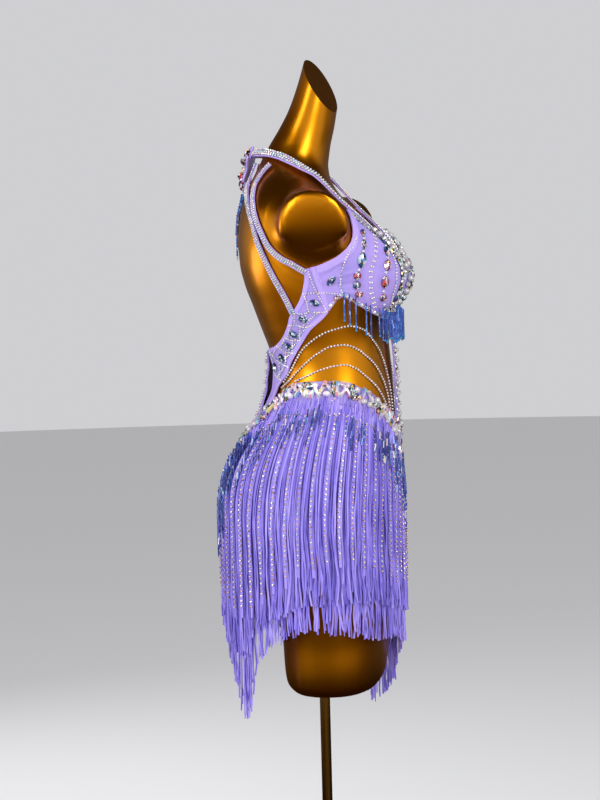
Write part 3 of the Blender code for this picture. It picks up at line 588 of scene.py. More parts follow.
def dimmed(tree: Tree, colour: Socket, share: Socket) -> Socket:
    """A colour times a number."""
    return add_node(tree, "ShaderNodeVectorMath", {0: colour, "Scale": share},
                    operation="SCALE").outputs["Vector"]


@dataclass(frozen=True)
class GoldLacquer(Finish):
    """Candy-gold lacquer sprayed on fibreglass: deep amber that flows into bright highlights.

    The lacquer pools a little, so its gloss and colour wander over a hand's width, and it has
    the faint orange peel of a sprayed coat.
    """

    deep: str = "#c07806"

    def pattern(self, tree: Tree) -> dict[str, Socket]:
        """Makes the slow wander of colour and gloss, and the orange peel."""
        place = own_place(tree)
        drift = noise(tree, place, 7.0, 2.0)
        gloss = (self.roughness * 0.96, self.roughness * 1.2)
        return {"Base Color": ramp(tree, drift, ((0.1, self.deep), (0.8, self.colour))),
                "Roughness": ranged(tree, drift, (0.1, 0.9), gloss),
                "Normal": bump(tree, noise(tree, place, 420.0), 0.03, 0.05)}


@dataclass(frozen=True)
class StretchCloth(Finish):
    """Satin-backed spandex: a fine knit of small cells, drawn coarser than real so that it shows.

    It has a soft sheen at grazing angles and a slightly darker, cooler colour that wanders at
    random.
    """

    shade: str = "#9483d2"
    rib_mm: float = 1.1

    def pattern(self, tree: Tree) -> dict[str, Socket]:
        """Makes the knit's cells and the cloth's uneven colour."""
        place = own_place(tree)
        drift = noise(tree, place, 26.0, 4.0, 0.55)
        ribs = add_node(tree, "ShaderNodeTexVoronoi",
                        {"Vector": place, "Scale": 1 / (self.rib_mm * MM)})
        return {"Base Color": ramp(tree, drift, ((0.28, self.shade), (0.55, self.colour))),
                "Normal": bump(tree, ribs.outputs["Distance"], 0.12, 0.5)}


@dataclass(frozen=True)
class SilkyFringe(Finish):
    """Flat stretch-satin strands: each dyed a touch lighter or darker, glossy along its length.

    A strand's own number is in the attribute "strand".
    """

    stops: tuple[tuple[float, str], ...] = ((0.0, "#6d5cd0"), (0.45, "#8878ea"), (1.0, "#a596f4"))

    def pattern(self, tree: Tree) -> dict[str, Socket]:
        """Makes the strands' differences and the slight slubs along them."""
        slub = noise(tree, own_place(tree), 60.0, 2.0)
        own = maths(tree, "MULTIPLY", attribute(tree, "strand"), 0.72)
        total = maths(tree, "MULTIPLY_ADD", slub, 0.28, own)
        return {"Base Color": ramp(tree, total, self.stops), "Normal": bump(tree, slub, 0.2, 0.4)}


@dataclass(frozen=True)
class FoiledStone(Finish):
    """Foil-backed glass stones with an iridescent coat: mirror-bright facets of changing hue.

    A stone's own number, from 0 to 1, is in the attribute "tint", and picks its colour. Each
    facet's number, in the attribute "facet", shifts it to another hue; the ramps' white and
    near-black stops paint glints and dark reflections on single facets, and the rim, the
    stone's lower sides, is painted dark as shade.
    """

    stops: tuple[tuple[float, str], ...] = ((0.0, "#e8ecff"), (1.0, "#ffffff"))
    split: float = 0.25
    rim: str = "#4c4a68"

    def pattern(self, tree: Tree) -> dict[str, Socket]:
        """Makes the stone's colour over its facets, painted glints and a rim painted as shade."""
        facet = attribute(tree, "facet")
        hue = maths(tree, "MULTIPLY_ADD", facet, self.split, attribute(tree, "tint"))
        colour = ramp(tree, maths(tree, "FRACT", hue), self.stops)
        # Faces with facet 0, the stone's lower sides, take the rim colour: painted shade.
        face = maths(tree, "GREATER_THAN", facet, 0.15)
        return {"Base Color": either(tree, face, linear(self.rim), colour)}


@dataclass(frozen=True)
class Pearl(Finish):
    """Lacquered imitation pearls: creamy, with a soft pink and green cast that wanders."""

    def pattern(self, tree: Tree) -> dict[str, Socket]:
        """Makes the nacre's wandering cast."""
        drift = noise(tree, own_place(tree), 120.0)
        return {"Base Color": ramp(tree, drift, (
            (0.3, "#d9cfd6"), (0.5, self.colour), (0.7, "#cfd8d2")))}


@dataclass(frozen=True)
class BugleBead(Finish):
    """Short glass tubes with a coloured lining: saturated blue with hard bright highlights."""

    stops: tuple[tuple[float, str], ...] = (
        (0.0, "#1c3f9e"), (0.5, "#2f6ad0"), (0.8, "#2a9bd8"), (1.0, "#7fb4f0"))

    def pattern(self, tree: Tree) -> dict[str, Socket]:
        """Makes the beads' differences."""
        return {"Base Color": ramp(tree, attribute(tree, "tint"), self.stops)}


@dataclass(frozen=True)
class PolishedMetal(Finish):
    """Turned and polished tube or plate, with the faint lengthwise streaks of its polishing."""

    streak_scale: tuple[float, float, float] = (220.0, 220.0, 6.0)

    def pattern(self, tree: Tree) -> dict[str, Socket]:
        """Makes the polishing streaks in the gloss."""
        drawn = add_node(tree, "ShaderNodeMapping",
                         {"Vector": own_place(tree), "Scale": self.streak_scale})
        streak = noise(tree, drawn.outputs["Vector"], 1.0, 2.0)
        gloss = (self.roughness * 0.6, self.roughness * 1.5)
        return {"Roughness": ranged(tree, streak, (0.3, 0.7), gloss)}


@dataclass(frozen=True)
class StudioFloor(Finish):
    """Pale matt painted planks; to glossy rays they are black and glow as a painted reflection."""

    near_metres: float = 2.2
    far_metres: float = 6.0

    def pattern(self, tree: Tree) -> dict[str, Socket]:
        """Makes the glow that glossy rays see, a painted reflection: dark near, pale far away."""
        place = own_place(tree)
        away = add_node(tree, "ShaderNodeVectorMath", {0: place}, operation="LENGTH")
        share = ranged(tree, away.outputs["Value"], (self.near_metres, self.far_metres))
        reflection_glow = ramp(tree, share, ((0.0, "#260f04"), (0.1, "#5e3c22"), (0.3, "#9c8266"),
                                    (0.75, "#dcd2c4"), (1.0, "#e6e4e2")))
        across = add_node(tree, "ShaderNodeSeparateXYZ", {"Vector": place}).outputs["X"]
        behind = ranged(tree, across, (-0.5, 2.0), (1.0, 0.15))
        glossy = add_node(tree, "ShaderNodeLightPath").outputs["Is Glossy Ray"]
        # To glossy rays the floor is black and glows: a painted reflection, not a lamp.
        return {"Base Color": either(tree, glossy, linear(self.colour), linear("#000000")),
                "Emission Color": dimmed(tree, reflection_glow, behind), "Emission Strength": glossy}


# Stone ramps: their white and near-black stops paint glints and dark reflections on facets.
AURORA_AND_GLINTS = (
    (0.0, "#ffffff"), (0.12, "#cfe2ee"), (0.2, "#ffb98c"), (0.28, "#ffffff"), (0.38, "#7fd6e4"),
    (0.46, "#ffffff"), (0.54, "#4c4866"), (0.6, "#ffffff"), (0.68, "#f6c8d8"), (0.76, "#8aa6f6"),
    (0.84, "#ffffff"), (0.92, "#ffe08c"), (1.0, "#ffffff"),
)
CLEAR_AND_GLINTS = (
    (0.0, "#f8f4ff"), (0.14, "#cdbcf2"), (0.24, "#ffffff"), (0.34, "#ffe070"), (0.4, "#fffdf0"),
    (0.5, "#bda8ec"), (0.6, "#6fdcea"), (0.68, "#ffffff"), (0.78, "#ff9fb4"), (0.86, "#f4f0ff"),
    (0.93, "#5d4f7c"), (1.0, "#f8f4ff"),
)
ROSE_AND_GLINTS = (
    (0.0, "#fff6e8"), (0.13, "#d99a58"), (0.25, "#ffffff"), (0.36, "#b5566c"), (0.46, "#fff2dc"),
    (0.57, "#5c2a22"), (0.65, "#ffffff"), (0.74, "#8cc8dc"), (0.82, "#a02840"), (0.9, "#ffe8c4"),
    (0.95, "#3a1c28"), (1.0, "#fff6e8"),
)
SILVER_AND_GLINTS = (
    (0.0, "#ffffff"), (0.14, "#8c93a0"), (0.26, "#ffffff"), (0.37, "#30343f"), (0.48, "#c8ccd6"),
    (0.57, "#6f97a4"), (0.66, "#ffffff"), (0.76, "#3c3444"), (0.86, "#b8bcc8"), (0.93, "#e4c8a0"),
    (1.0, "#ffffff"),
)
JEWEL_AND_GLINTS = (
    (0.0, "#ffffff"), (0.07, "#bfeaf6"), (0.13, "#0c1a26"), (0.24, "#0f5a6c"), (0.3, "#e6fbff"),
    (0.37, "#10203a"), (0.46, "#2358c0"), (0.52, "#0a0c18"), (0.6, "#ffffff"), (0.66, "#1a8c98"),
    (0.74, "#0e1426"), (0.82, "#b8285a"), (0.88, "#160c22"), (0.95, "#ffd65a"), (1.0, "#ffffff"),
)
EMBER_AND_GLINTS = (
    (0.0, "#ffffff"), (0.08, "#d83058"), (0.16, "#2a0a20"), (0.28, "#3c1030"), (0.34, "#ffe08c"),
    (0.42, "#ffffff"), (0.5, "#300a2c"), (0.57, "#f0683c"), (0.64, "#58103c"), (0.72, "#f4f8ff"),
    (0.79, "#4a2480"), (0.86, "#1c0818"), (0.93, "#b82454"), (1.0, "#ffffff"),
)
MIDNIGHT_AND_GLINTS = (
    (0.0, "#101a30"), (0.18, "#0e3040"), (0.3, "#e8f8ff"), (0.4, "#0c1020"), (0.55, "#1c6c8c"),
    (0.68, "#0c0e1c"), (0.8, "#3a5cc0"), (0.88, "#ffffff"), (0.94, "#201028"), (1.0, "#101a30"),
)

GOLD = GoldLacquer("candy_gold_lacquer", "#e2930c", roughness=0.29, metallic=1.0, coat=0.15,
                   coat_roughness=0.1, deep="#d28208")
BRASS = PolishedMetal("dark_brass_plate", "#7d5a24", roughness=0.22, metallic=1.0)
LILAC = StretchCloth("lilac_spandex", "#a690dd", roughness=0.45, sheen=0.12, specular=0.4)
BINDING = StretchCloth("lilac_binding", "#b59eea", roughness=0.4, sheen=0.12, shade="#9f86dc")
FRINGE = SilkyFringe("violet_satin_fringe", "#8c7ceb", roughness=0.34, sheen=0.1,
                     stops=((0.0, "#5e50bc"), (0.38, "#8c7be2"), (0.75, "#ab99f0"),
                            (1.0, "#c8b4f6")))
# Each stone finish's rim colour paints the shade on its stones' lower sides.
CRYSTAL = FoiledStone("aurora_rhinestone", "#f2f2ff", roughness=0.1, metallic=0.2, coat=1.0,
                      stops=AURORA_AND_GLINTS, split=0.8, rim="#6f6a90")
SMALL_CRYSTAL = FoiledStone("small_aurora_rhinestone", "#f2f2ff", roughness=0.14, metallic=0.15,
                            coat=1.0, stops=AURORA_AND_GLINTS, split=0.5, rim="#8d86b0")
CLEAR_STONE = FoiledStone("clear_aurora_glass", "#f2f2ff", roughness=0.06, metallic=0.35, coat=1.0,
                          stops=CLEAR_AND_GLINTS, split=0.5, rim="#8f7fc4")
ROSE_STONE = FoiledStone("rose_rhinestone", "#fff2e4", roughness=0.14, metallic=0.15, coat=1.0,
                         stops=ROSE_AND_GLINTS, split=0.4, rim="#5a3040")
SILVER_STONE = FoiledStone("silver_shade_stone", "#c8ccd4", roughness=0.1, metallic=0.35,
                           coat=1.0, stops=SILVER_AND_GLINTS, split=0.7, rim="#4c4c5c")
FANCY = FoiledStone("deep_fancy_stone", "#30505c", roughness=0.1, metallic=0.25, coat=1.0,
                    stops=JEWEL_AND_GLINTS, split=1.0, rim="#1c2230")
RED_FANCY = FoiledStone("ember_fancy_stone", "#c03048", roughness=0.1, metallic=0.25, coat=1.0,
                        stops=EMBER_AND_GLINTS, split=1.0, rim="#30141e")
NIGHT = FoiledStone("night_fancy_stone", "#101c30", roughness=0.1, metallic=0.25, coat=1.0,
                    stops=MIDNIGHT_AND_GLINTS, split=1.0, rim="#141826")
PEARL = Pearl("cream_pearl", "#cdc8c8", roughness=0.16, metallic=0.2, coat=1.0)
PEARL_LIKE = FoiledStone("opal_glass", "#f6f0f4", roughness=0.12, metallic=0.2, coat=1.0,
                         stops=((0.0, "#fff8ee"), (0.5, "#e9e0f2"), (1.0, "#ffffff")), split=0.3,
                         rim="#a79ac0")
STUD = FoiledStone("pale_square_stud", "#f0ead8", roughness=0.18, metallic=0.4, coat=0.6,
                   stops=((0.0, "#f6efdc"), (0.6, "#ffffff"), (1.0, "#e6dfcc")), split=0.1,
                   rim="#6f6680")
BUGLE = BugleBead("blue_bugle_bead", "#2a52b8", roughness=0.2, metallic=0.25, coat=0.6,
                  stops=((0.0, "#16307c"), (0.4, "#2450b0"), (0.7, "#2f62c8"), (0.88, "#2486c0"),
                         (1.0, "#6a9ce8")))
# Its two palest stops paint a few beads near white: painted glints.
NAVY_BUGLE = BugleBead("navy_bugle_bead", "#31479c", roughness=0.16, metallic=0.3, coat=1.0,
                       stops=((0.0, "#22307e"), (0.4, "#31459c"), (0.65, "#4054b4"),
                              (0.85, "#5068cc"), (0.92, "#3d8fc4"), (0.96, "#c8d2ff"),
                              (1.0, "#fff0d0")))
FOIL_BED = Finish("grey_foil_bed", "#8f94b4", roughness=0.4, metallic=0.2)
NAVY_THREAD = Finish("navy_nylon_thread", "#2a3f96", roughness=0.5)
SETTING_METAL = PolishedMetal("silver_cup_chain", "#c9ccd6", roughness=0.25, metallic=1.0)
FLOOR = StudioFloor("pale_studio_floor", "#dcdcdc", roughness=0.8, specular=0.1)


# ------------------------------------------------------------------ routes on the figure
def beside(angle: Array, height: Array, step: Array) -> tuple[Array, Array]:
    """The places that short steps, in millimetres, in the surface lead to."""
    around = (SKIN.surface(angle + 0.1, height) - SKIN.surface(angle - 0.1, height)) / 0.2
    rising = SKIN.surface(angle, height + 0.5) - SKIN.surface(angle, height - 0.5)
    aa, ar, rr = (around * around).sum(-1), (around * rising).sum(-1), (rising * rising).sum(-1)
    sa, sr = (step * around).sum(-1), (step * rising).sum(-1)
    scale = aa * rr - ar * ar
    return angle + (sa * rr - sr * ar) / scale, height + (sr * aa - sa * ar) / scale


class Route:
    """A line on the figure that straps, tapes and rows of stones follow."""

    def __init__(self, marks: Sequence[Sequence[float]], lift: float = 0.0) -> None:
        """Takes the marks, and how far above the figure the line lies besides their own lift."""
        self.curve = along(marks)
        self.lifted = self.curve.values.shape[1] > 2
        self.lift = lift
        shares = np.linspace(0, 1, 400)
        self.lengths = distances(self.at(shares)[0])
        self.shares = shares
        self.length = float(self.lengths[-1])

    def at(self, share: Array, aside: Array | float = 0.0,
           above: Array | float = 0.0) -> tuple[Array, Array, Array]:
        """Points on the line, or beside it.

        Args:
            share: how far along the line, from 0 to 1.
            aside: millimetres to the side, in the surface.
            above: millimetres out from the line.
        Returns:
            The points, the outward directions and the directions along the line.
        """
        share = np.asarray(share, float)
        values, ahead = self.curve(share), self.curve(np.minimum(share + 0.002, 1.0))
        behind = self.curve(np.maximum(share - 0.002, 0.0))
        angle, height = values[..., 0], values[..., 1]
        lift = values[..., 2] if self.lifted else 0.0
        forward = unit(SKIN.surface(ahead[..., 0], ahead[..., 1])
                       - SKIN.surface(behind[..., 0], behind[..., 1]))
        out = SKIN.outward(angle, height)
        side = np.cross(out, forward)
        moved = side * np.broadcast_to(np.asarray(aside, float), share.shape)[..., None]
        angle, height = beside(angle, height, moved)
        points = SKIN.skin(angle, height, lift + self.lift + np.asarray(above, float))
        return points, SKIN.outward(angle, height), forward

    def places(self, spacing: float, start: float = 0.0, end: float = 0.0) -> Array:
        """Shares of even spacing, in millimetres, between margins at the two ends."""
        count = max(int(round((self.length - start - end) / spacing)), 1)
        return np.interp(np.linspace(start, self.length - end, count + 1),
                         self.lengths, self.shares)


def tape(draft: Draft, route: Route, width: float, thickness: float, aside: float = 0.0,
         crown: float = 0.3, spacing: float = 4.0) -> None:
    """Adds a flat tape that follows a route, with its edges rounded down a little.

    Args:
        draft: what the tape is added to.
        route: the line that the tape's underside follows.
        width: the tape's width.
        thickness: its thickness.
        aside: how far its middle is beside the route.
        crown: how much its middle stands above its edges.
        spacing: the distance between its cross-sections.
    """
    shares = route.places(spacing)[:, None]
    across = np.linspace(-0.5, 0.5, 7)[None, :]
    shares, sides = np.broadcast_arrays(shares, across)
    swell = crown * (1 - (2 * sides) ** 4)
    inner, _, _ = route.at(shares, aside + sides * width)
    outer, _, _ = route.at(shares, aside + sides * width, thickness + swell)
    draft.shell(inner, outer)


class Crease(NamedTuple):
    """A soft trough or ridge in stretched cloth: where it runs, how wide and how deep."""

    start: tuple[float, float]
    end: tuple[float, float]
    width: float
    depth: float


def creased(angle: Array, height: Array, creases: Sequence[Crease]) -> Array:
    """How far creases push cloth out, in millimetres, negative in troughs.

    Args:
        angle: places' angles, all on the right side.
        height: places' heights.
        creases: the troughs and ridges.
    Returns:
        The push at each place.
    """
    place = np.stack([np.abs(angle) * DEGREE_MM, height], axis=-1)
    total = np.zeros(place.shape[:-1])
    for crease in creases:
        start = np.array([crease.start[0] * DEGREE_MM, crease.start[1]])
        run = np.array([crease.end[0] * DEGREE_MM, crease.end[1]]) - start
        share = np.clip(((place - start) @ run) / (run @ run), 0, 1)
        gap = np.linalg.norm(place - start - share[..., None] * run, axis=-1)
        fade = np.sin(np.pi * np.clip(0.12 + 0.88 * (1 - share), 0, 1)) ** 0.6
        total += crease.depth * fade * np.exp(-(gap / crease.width) ** 2)
    return total


# ------------------------------------------------------------------ stones
def loop_outline(count: int, shape: Callable[[float], tuple[float, float]]) -> Array:
    """Points round an outline from its shape function of a turn between 0 and 1."""
    return np.array([shape(i / count) for i in range(count)])


def round_point(turn: float) -> tuple[float, float]:
    """A circle of width 1."""
    return 0.5 * math.cos(2 * math.pi * turn), 0.5 * math.sin(2 * math.pi * turn)


def navette_point(turn: float) -> tuple[float, float]:
    """A pointed boat, one wide and one long."""
    x, y = round_point(turn)
    return x * (1 - abs(2 * y) ** 2.2 * 0.35), y


def pear_point(turn: float) -> tuple[float, float]:
    """A drop, one wide and one long, with its point at the top."""
    x, y = round_point(turn)
    return x * (1 - 0.75 * max(0.0, y + 0.15) ** 1.1), y


def square_point(turn: float) -> tuple[float, float]:
    """A square with slightly cut corners."""
    x, y = round_point(turn + 1 / 16)
    return math.copysign(min(abs(x) * 1.32, 0.5), x), math.copysign(min(abs(y) * 1.32, 0.5), y)


def bar_point(turn: float) -> tuple[float, float]:
    """A plain rectangle's corners, at quarter turns."""
    return 0.5 * (1 if turn in (0, 0.75) else -1), 0.5 * (1 if turn < 0.5 else -1)


class Cut(Enum):
    """The shapes that stones and beads come in."""

    ROUND = "round"
    CHATON = "chaton"
    NAVETTE = "navette"
    PEAR = "pear"
    OVAL = "oval"
    SQUARE = "square"
    BAGUETTE = "baguette"
    PEARL = "pearl"
    BUGLE = "bugle"

    def template(self) -> Object:
        """Makes one stone, one millimetre each way, to be set many times.

        Returns:
            The stone's object, which is removed once the stones are set.
        """
        edit = bmesh.new()
        if self is Cut.PEARL:
            bmesh.ops.create_icosphere(edit, subdivisions=2, radius=0.5,
                                       matrix=Matrix.Translation((0, 0, 0.42)))
        elif self is Cut.BUGLE:
            self._rings(edit, loop_outline(6, round_point), ((-0.5, 1.0), (0.5, 1.0)), upright=True)
        else:
            outline = loop_outline(*{
                Cut.ROUND: (10, round_point), Cut.CHATON: (6, round_point),
                Cut.NAVETTE: (10, navette_point), Cut.PEAR: (10, pear_point),
                Cut.OVAL: (10, round_point), Cut.SQUARE: (8, square_point),
                Cut.BAGUETTE: (4, bar_point)}[self])
            rings = ((0.0, 1.0), (0.4, 1.0), (1.0, 0.6)) if self is Cut.CHATON else (
                (0.0, 0.94), (0.2, 1.0), (0.58, 0.84), (0.88, 0.55), (1.0, 0.24))
            self._rings(edit, outline, rings)
        mesh = bpy.data.meshes.new(f"template_{self.value}")
        edit.normal_update()
        facet = edit.faces.layers.float.new("facet")
        # Rim faces get facet 0, painted dark as shade; the rest pick facet hues and painted glints.
        for i, face in enumerate(edit.faces):
            rim = face.calc_center_median().z < 0.3
            face[facet] = 0.0 if rim else 0.16 + (i * 0.618 + 0.37) % 0.84
        edit.to_mesh(mesh)
        edit.free()
        if self is Cut.PEARL:
            mesh.shade_smooth()
        return linked(mesh.name, mesh)

    @staticmethod
    def _rings(edit: bmesh.types.BMesh, outline: Array, rings: Sequence[tuple[float, float]],
               upright: bool = False) -> None:
        """Lofts an outline through rings of a height and a scale, and closes both ends.

        Args:
            edit: the mesh that is added to.
            outline: points round the outline.
            rings: each ring's height and scale.
            upright: whether the loft runs along the length instead of the height.
        """
        made = []
        for height, scale in rings:
            made.append([
                edit.verts.new((x * scale, height, y * scale + 0.45) if upright
                               else (x * scale, y * scale, height)) for x, y in outline])
        for lower, upper in zip(made, made[1:]):
            for i, here in enumerate(lower):
                j = (i + 1) % len(lower)
                edit.faces.new((here, lower[j], upper[j], upper[i]))
        edit.faces.new(made[0][::-1])
        edit.faces.new(made[-1])
        bmesh.ops.recalc_face_normals(edit, faces=edit.faces)


def dressed(piece: Object, tree: Tree, **inputs: object) -> Object:
    """Runs a geometry tree on a piece and keeps its result as a plain mesh.

    Args:
        piece: the object whose mesh feeds the tree.
        tree: the geometry tree.
        inputs: the tree's inputs by name.
    Returns:
        The same object with the tree's result.
    """
    modifier = piece.modifiers.new(tree.name, "NODES")
    modifier.node_group = tree
    sockets = {item.name: item.identifier for item in tree.interface.items_tree
               if item.item_type == "SOCKET" and item.in_out == "INPUT"}
    for key, value in inputs.items():
        modifier[sockets[key]] = value
    return applied(piece)


def made_tree(name: str, sockets: dict[str, str], shape: Callable[[Tree, object], Socket]) -> Tree:
    """A geometry tree, made on first use, whose shape is made real and given its finish.

    Args:
        name: the tree's name.
        sockets: the kinds of its own inputs, by name.
        shape: adds the nodes that make the shape, from the tree and its inputs.
    Returns:
        The tree.
    """
    tree = bpy.data.node_groups.get(name)
    if tree is not None:
        return tree
    tree = bpy.data.node_groups.new(name, "GeometryNodeTree")
    for key, kind in {"Geometry": "Geometry", "Finish": "Material", **sockets}.items():
        tree.interface.new_socket(key, in_out="INPUT", socket_type=f"NodeSocket{kind}")
    tree.interface.new_socket("Geometry", in_out="OUTPUT", socket_type="NodeSocketGeometry")
    source = add_node(tree, "NodeGroupInput").outputs
    real = add_node(tree, "GeometryNodeRealizeInstances", {"Geometry": shape(tree, source)})
    finish = add_node(tree, "GeometryNodeSetMaterial",
                      {"Geometry": real.outputs[0], "Material": source["Finish"]})
    add_node(tree, "NodeGroupOutput", {"Geometry": finish.outputs[0]})
    return tree


def point_vector(tree: Tree, name: str) -> Socket:
    """A vector that each point carries."""
    return add_node(tree, "GeometryNodeInputNamedAttribute", {"Name": name},
                    data_type="FLOAT_VECTOR").outputs["Attribute"]


def stone_on_each_point(tree: Tree, source: object) -> Socket:
    """Sets the stone on every point, turned and sized by the point's attributes."""
    stone = add_node(tree, "GeometryNodeObjectInfo", {"Object": source["Stone"]})
    turn = add_node(tree, "FunctionNodeEulerToRotation", {0: point_vector(tree, "turn")})
    return add_node(tree, "GeometryNodeInstanceOnPoints", {
        "Points": source["Geometry"], "Instance": stone.outputs["Geometry"],
        "Rotation": turn.outputs[0], "Scale": point_vector(tree, "size")}).outputs[0]


def strand_on_each_line(tree: Tree, source: object) -> Socket:
    """Sweeps a flat strand along every line, facing the way of attribute "out"."""
    lines = add_node(tree, "GeometryNodeMeshToCurve", {"Mesh": source["Geometry"]})
    facing = add_node(tree, "GeometryNodeSetCurveNormal",
                      {"Curve": lines.outputs[0], "Normal": point_vector(tree, "out")}, mode="FREE")
    profile = add_node(tree, "GeometryNodeCurvePrimitiveQuadrilateral",
                       {"Width": source["Thickness"], "Height": source["Width"]})
    return add_node(tree, "GeometryNodeCurveToMesh", {
        "Curve": facing.outputs[0], "Profile Curve": profile.outputs[0],
        "Fill Caps": True}).outputs[0]


def point_mesh(name: str, points: Array, edges: Array | None = None,
               **attributes: Array) -> Object:
    """Makes a mesh of bare points, or of lines, with attributes on the points.

    Args:
        name: the object's name.
        points: places in millimetres.
        edges: pairs of point numbers, or None.
        attributes: a number or a vector for each point, by name.
    Returns:
        The new object.
    """
    mesh = bpy.data.meshes.new(name)
    mesh.from_pydata(points.reshape(-1, 3) * MM, [] if edges is None else edges.tolist(), [])
    for key, values in attributes.items():
        vector = values.ndim > 1
        made = mesh.attributes.new(key, "FLOAT_VECTOR" if vector else "FLOAT", "POINT")
        made.data.foreach_set("vector" if vector else "value",
                              np.ascontiguousarray(values, np.float32).ravel())
    return linked(name, mesh)


def eulers(normals: Array, along_line: Array) -> Array:
    """The turns that stand a stone on a surface with its length along a direction."""
    turned = []
    for normal, forward in zip(normals, along_line):
        z = Vector(normal).normalized()
        x = Vector(forward).cross(z).normalized()
        y = z.cross(x)
        turned.append(tuple(Matrix((x, y, z)).transposed().to_euler()))
    return np.array(turned)


Size = tuple[float, float, float]


@dataclass
class StoneWork:
    """Stones of several cuts and finishes on one sub-assembly, gathered and then set at once."""

    name: str
    seed: int
    unevenness: float = 0.07
    gathered: dict = field(default_factory=dict)

    def __post_init__(self) -> None:
        """Starts the seeded choice of tints."""
        self.random = np.random.default_rng(self.seed)

    def set(self, cut: Cut, finish: Finish, places: tuple[Array, Array, Array],
            size: Size, tints: Array | float | None = None, turn: float = 0.0) -> None:
        """Gathers stones.

        Args:
            cut: the stones' shape.
            finish: what they are made of.
            places: points, outward directions and directions of their length.
            size: width, length and height in millimetres.
            tints: a number from 0 to 1 a stone, one for all, or None for chance.
            turn: degrees by which the length is turned from its direction.
        """
        points, normals, forward = (np.asarray(p, float).reshape(-1, 3) for p in places)
        if turn:
            c, s = math.cos(math.radians(turn)), math.sin(math.radians(turn))
            forward = forward * c + np.cross(normals, forward) * s
        if tints is None:
            tints = self.random.random(len(points))
        tints = np.broadcast_to(np.asarray(tints, float), (len(points),))
        normals = normals + self.random.normal(0, self.unevenness, normals.shape)
        entry = self.gathered.setdefault((cut, finish), [[], [], [], []])
        for store, values in zip(entry, (points, eulers(normals, forward),
                                         np.tile(np.array(size), (len(points), 1)), tints)):
            store.append(values)

    def row(self, route: Route, spacing: float, *kinds: tuple[Cut, Finish, Size],
            ends: tuple[float, float] = (0, 0), aside: float = 0.0, above: float = 0.0) -> None:
        """Gathers a row of stones along a route.

        Args:
            route: the line that they follow.
            spacing: millimetres from one to the next.
            kinds: the cut, finish and size of each kind, in turn.
            ends: millimetres that stay free at the two ends.
            aside: how far the row is beside the route.
            above: how far it is out from the route.
        """
        shares = route.places(spacing, *ends)
        for start, (cut, finish, size) in enumerate(kinds):
            self.set(cut, finish, route.at(shares[start::len(kinds)], aside, above), size)

    def singles(self, route: Route, *stones: tuple) -> None:
        """Gathers single stones, each given by its share of a route and its kind."""
        for share, cut, finish, size in stones:
            self.set(cut, finish, route.at(np.array([share])), size)

    def pieces(self, slot: str) -> Pieces:
        """Sets all that is gathered.

        Args:
            slot: the record's material slot for the stones, which is not used.
        Returns:
            One piece for each cut and finish.
        """
        made = []
        for (cut, finish), entry in self.gathered.items():
            points, turns, sizes, tints = (np.concatenate(values) for values in entry)
            piece = point_mesh(f"{self.name}_{cut.value}_{finish.name}", points,
                               turn=turns, size=sizes * MM, tint=tints)
            template = cut.template()
            tree = made_tree("set_stones", {"Stone": "Object"}, stone_on_each_point)
            dressed(piece, tree, Stone=template, Finish=finish.material())
            dropped(template)
            made.append(finished(piece, slot))
        return made


# ------------------------------------------------------------------ swept strands
def strands(name: str, lines: Array, facing: Array, finish: Finish, width: float,
            thickness: float, tints: Array) -> Object:
    """Makes flat strands along lines.

    Args:
        name: the piece's name.
        lines: places, one row of points a strand.
        facing: the way each point's flat side looks.
        finish: what the strands are made of.
        width: a strand's width.
        thickness: its thickness.
        tints: a number from 0 to 1 a strand, or a point.
    Returns:
        The new piece.
    """
    count, points = lines.shape[:2]
    number = np.arange(count * points).reshape(count, points)
    edges = np.stack([number[:, :-1], number[:, 1:]], axis=-1).reshape(-1, 2)
    piece = point_mesh(name, lines, edges, out=facing.reshape(-1, 3),
                       strand=tints.ravel() if tints.ndim > 1 else np.repeat(tints, points))
    tree = made_tree("sweep_strands", {"Width": "Float", "Thickness": "Float"}, strand_on_each_line)
    dressed(piece, tree, Width=width * MM, Thickness=thickness * MM, Finish=finish.material())
    piece.data.shade_smooth()
    piece.data.set_sharp_from_angle(angle=math.radians(50))
    return piece


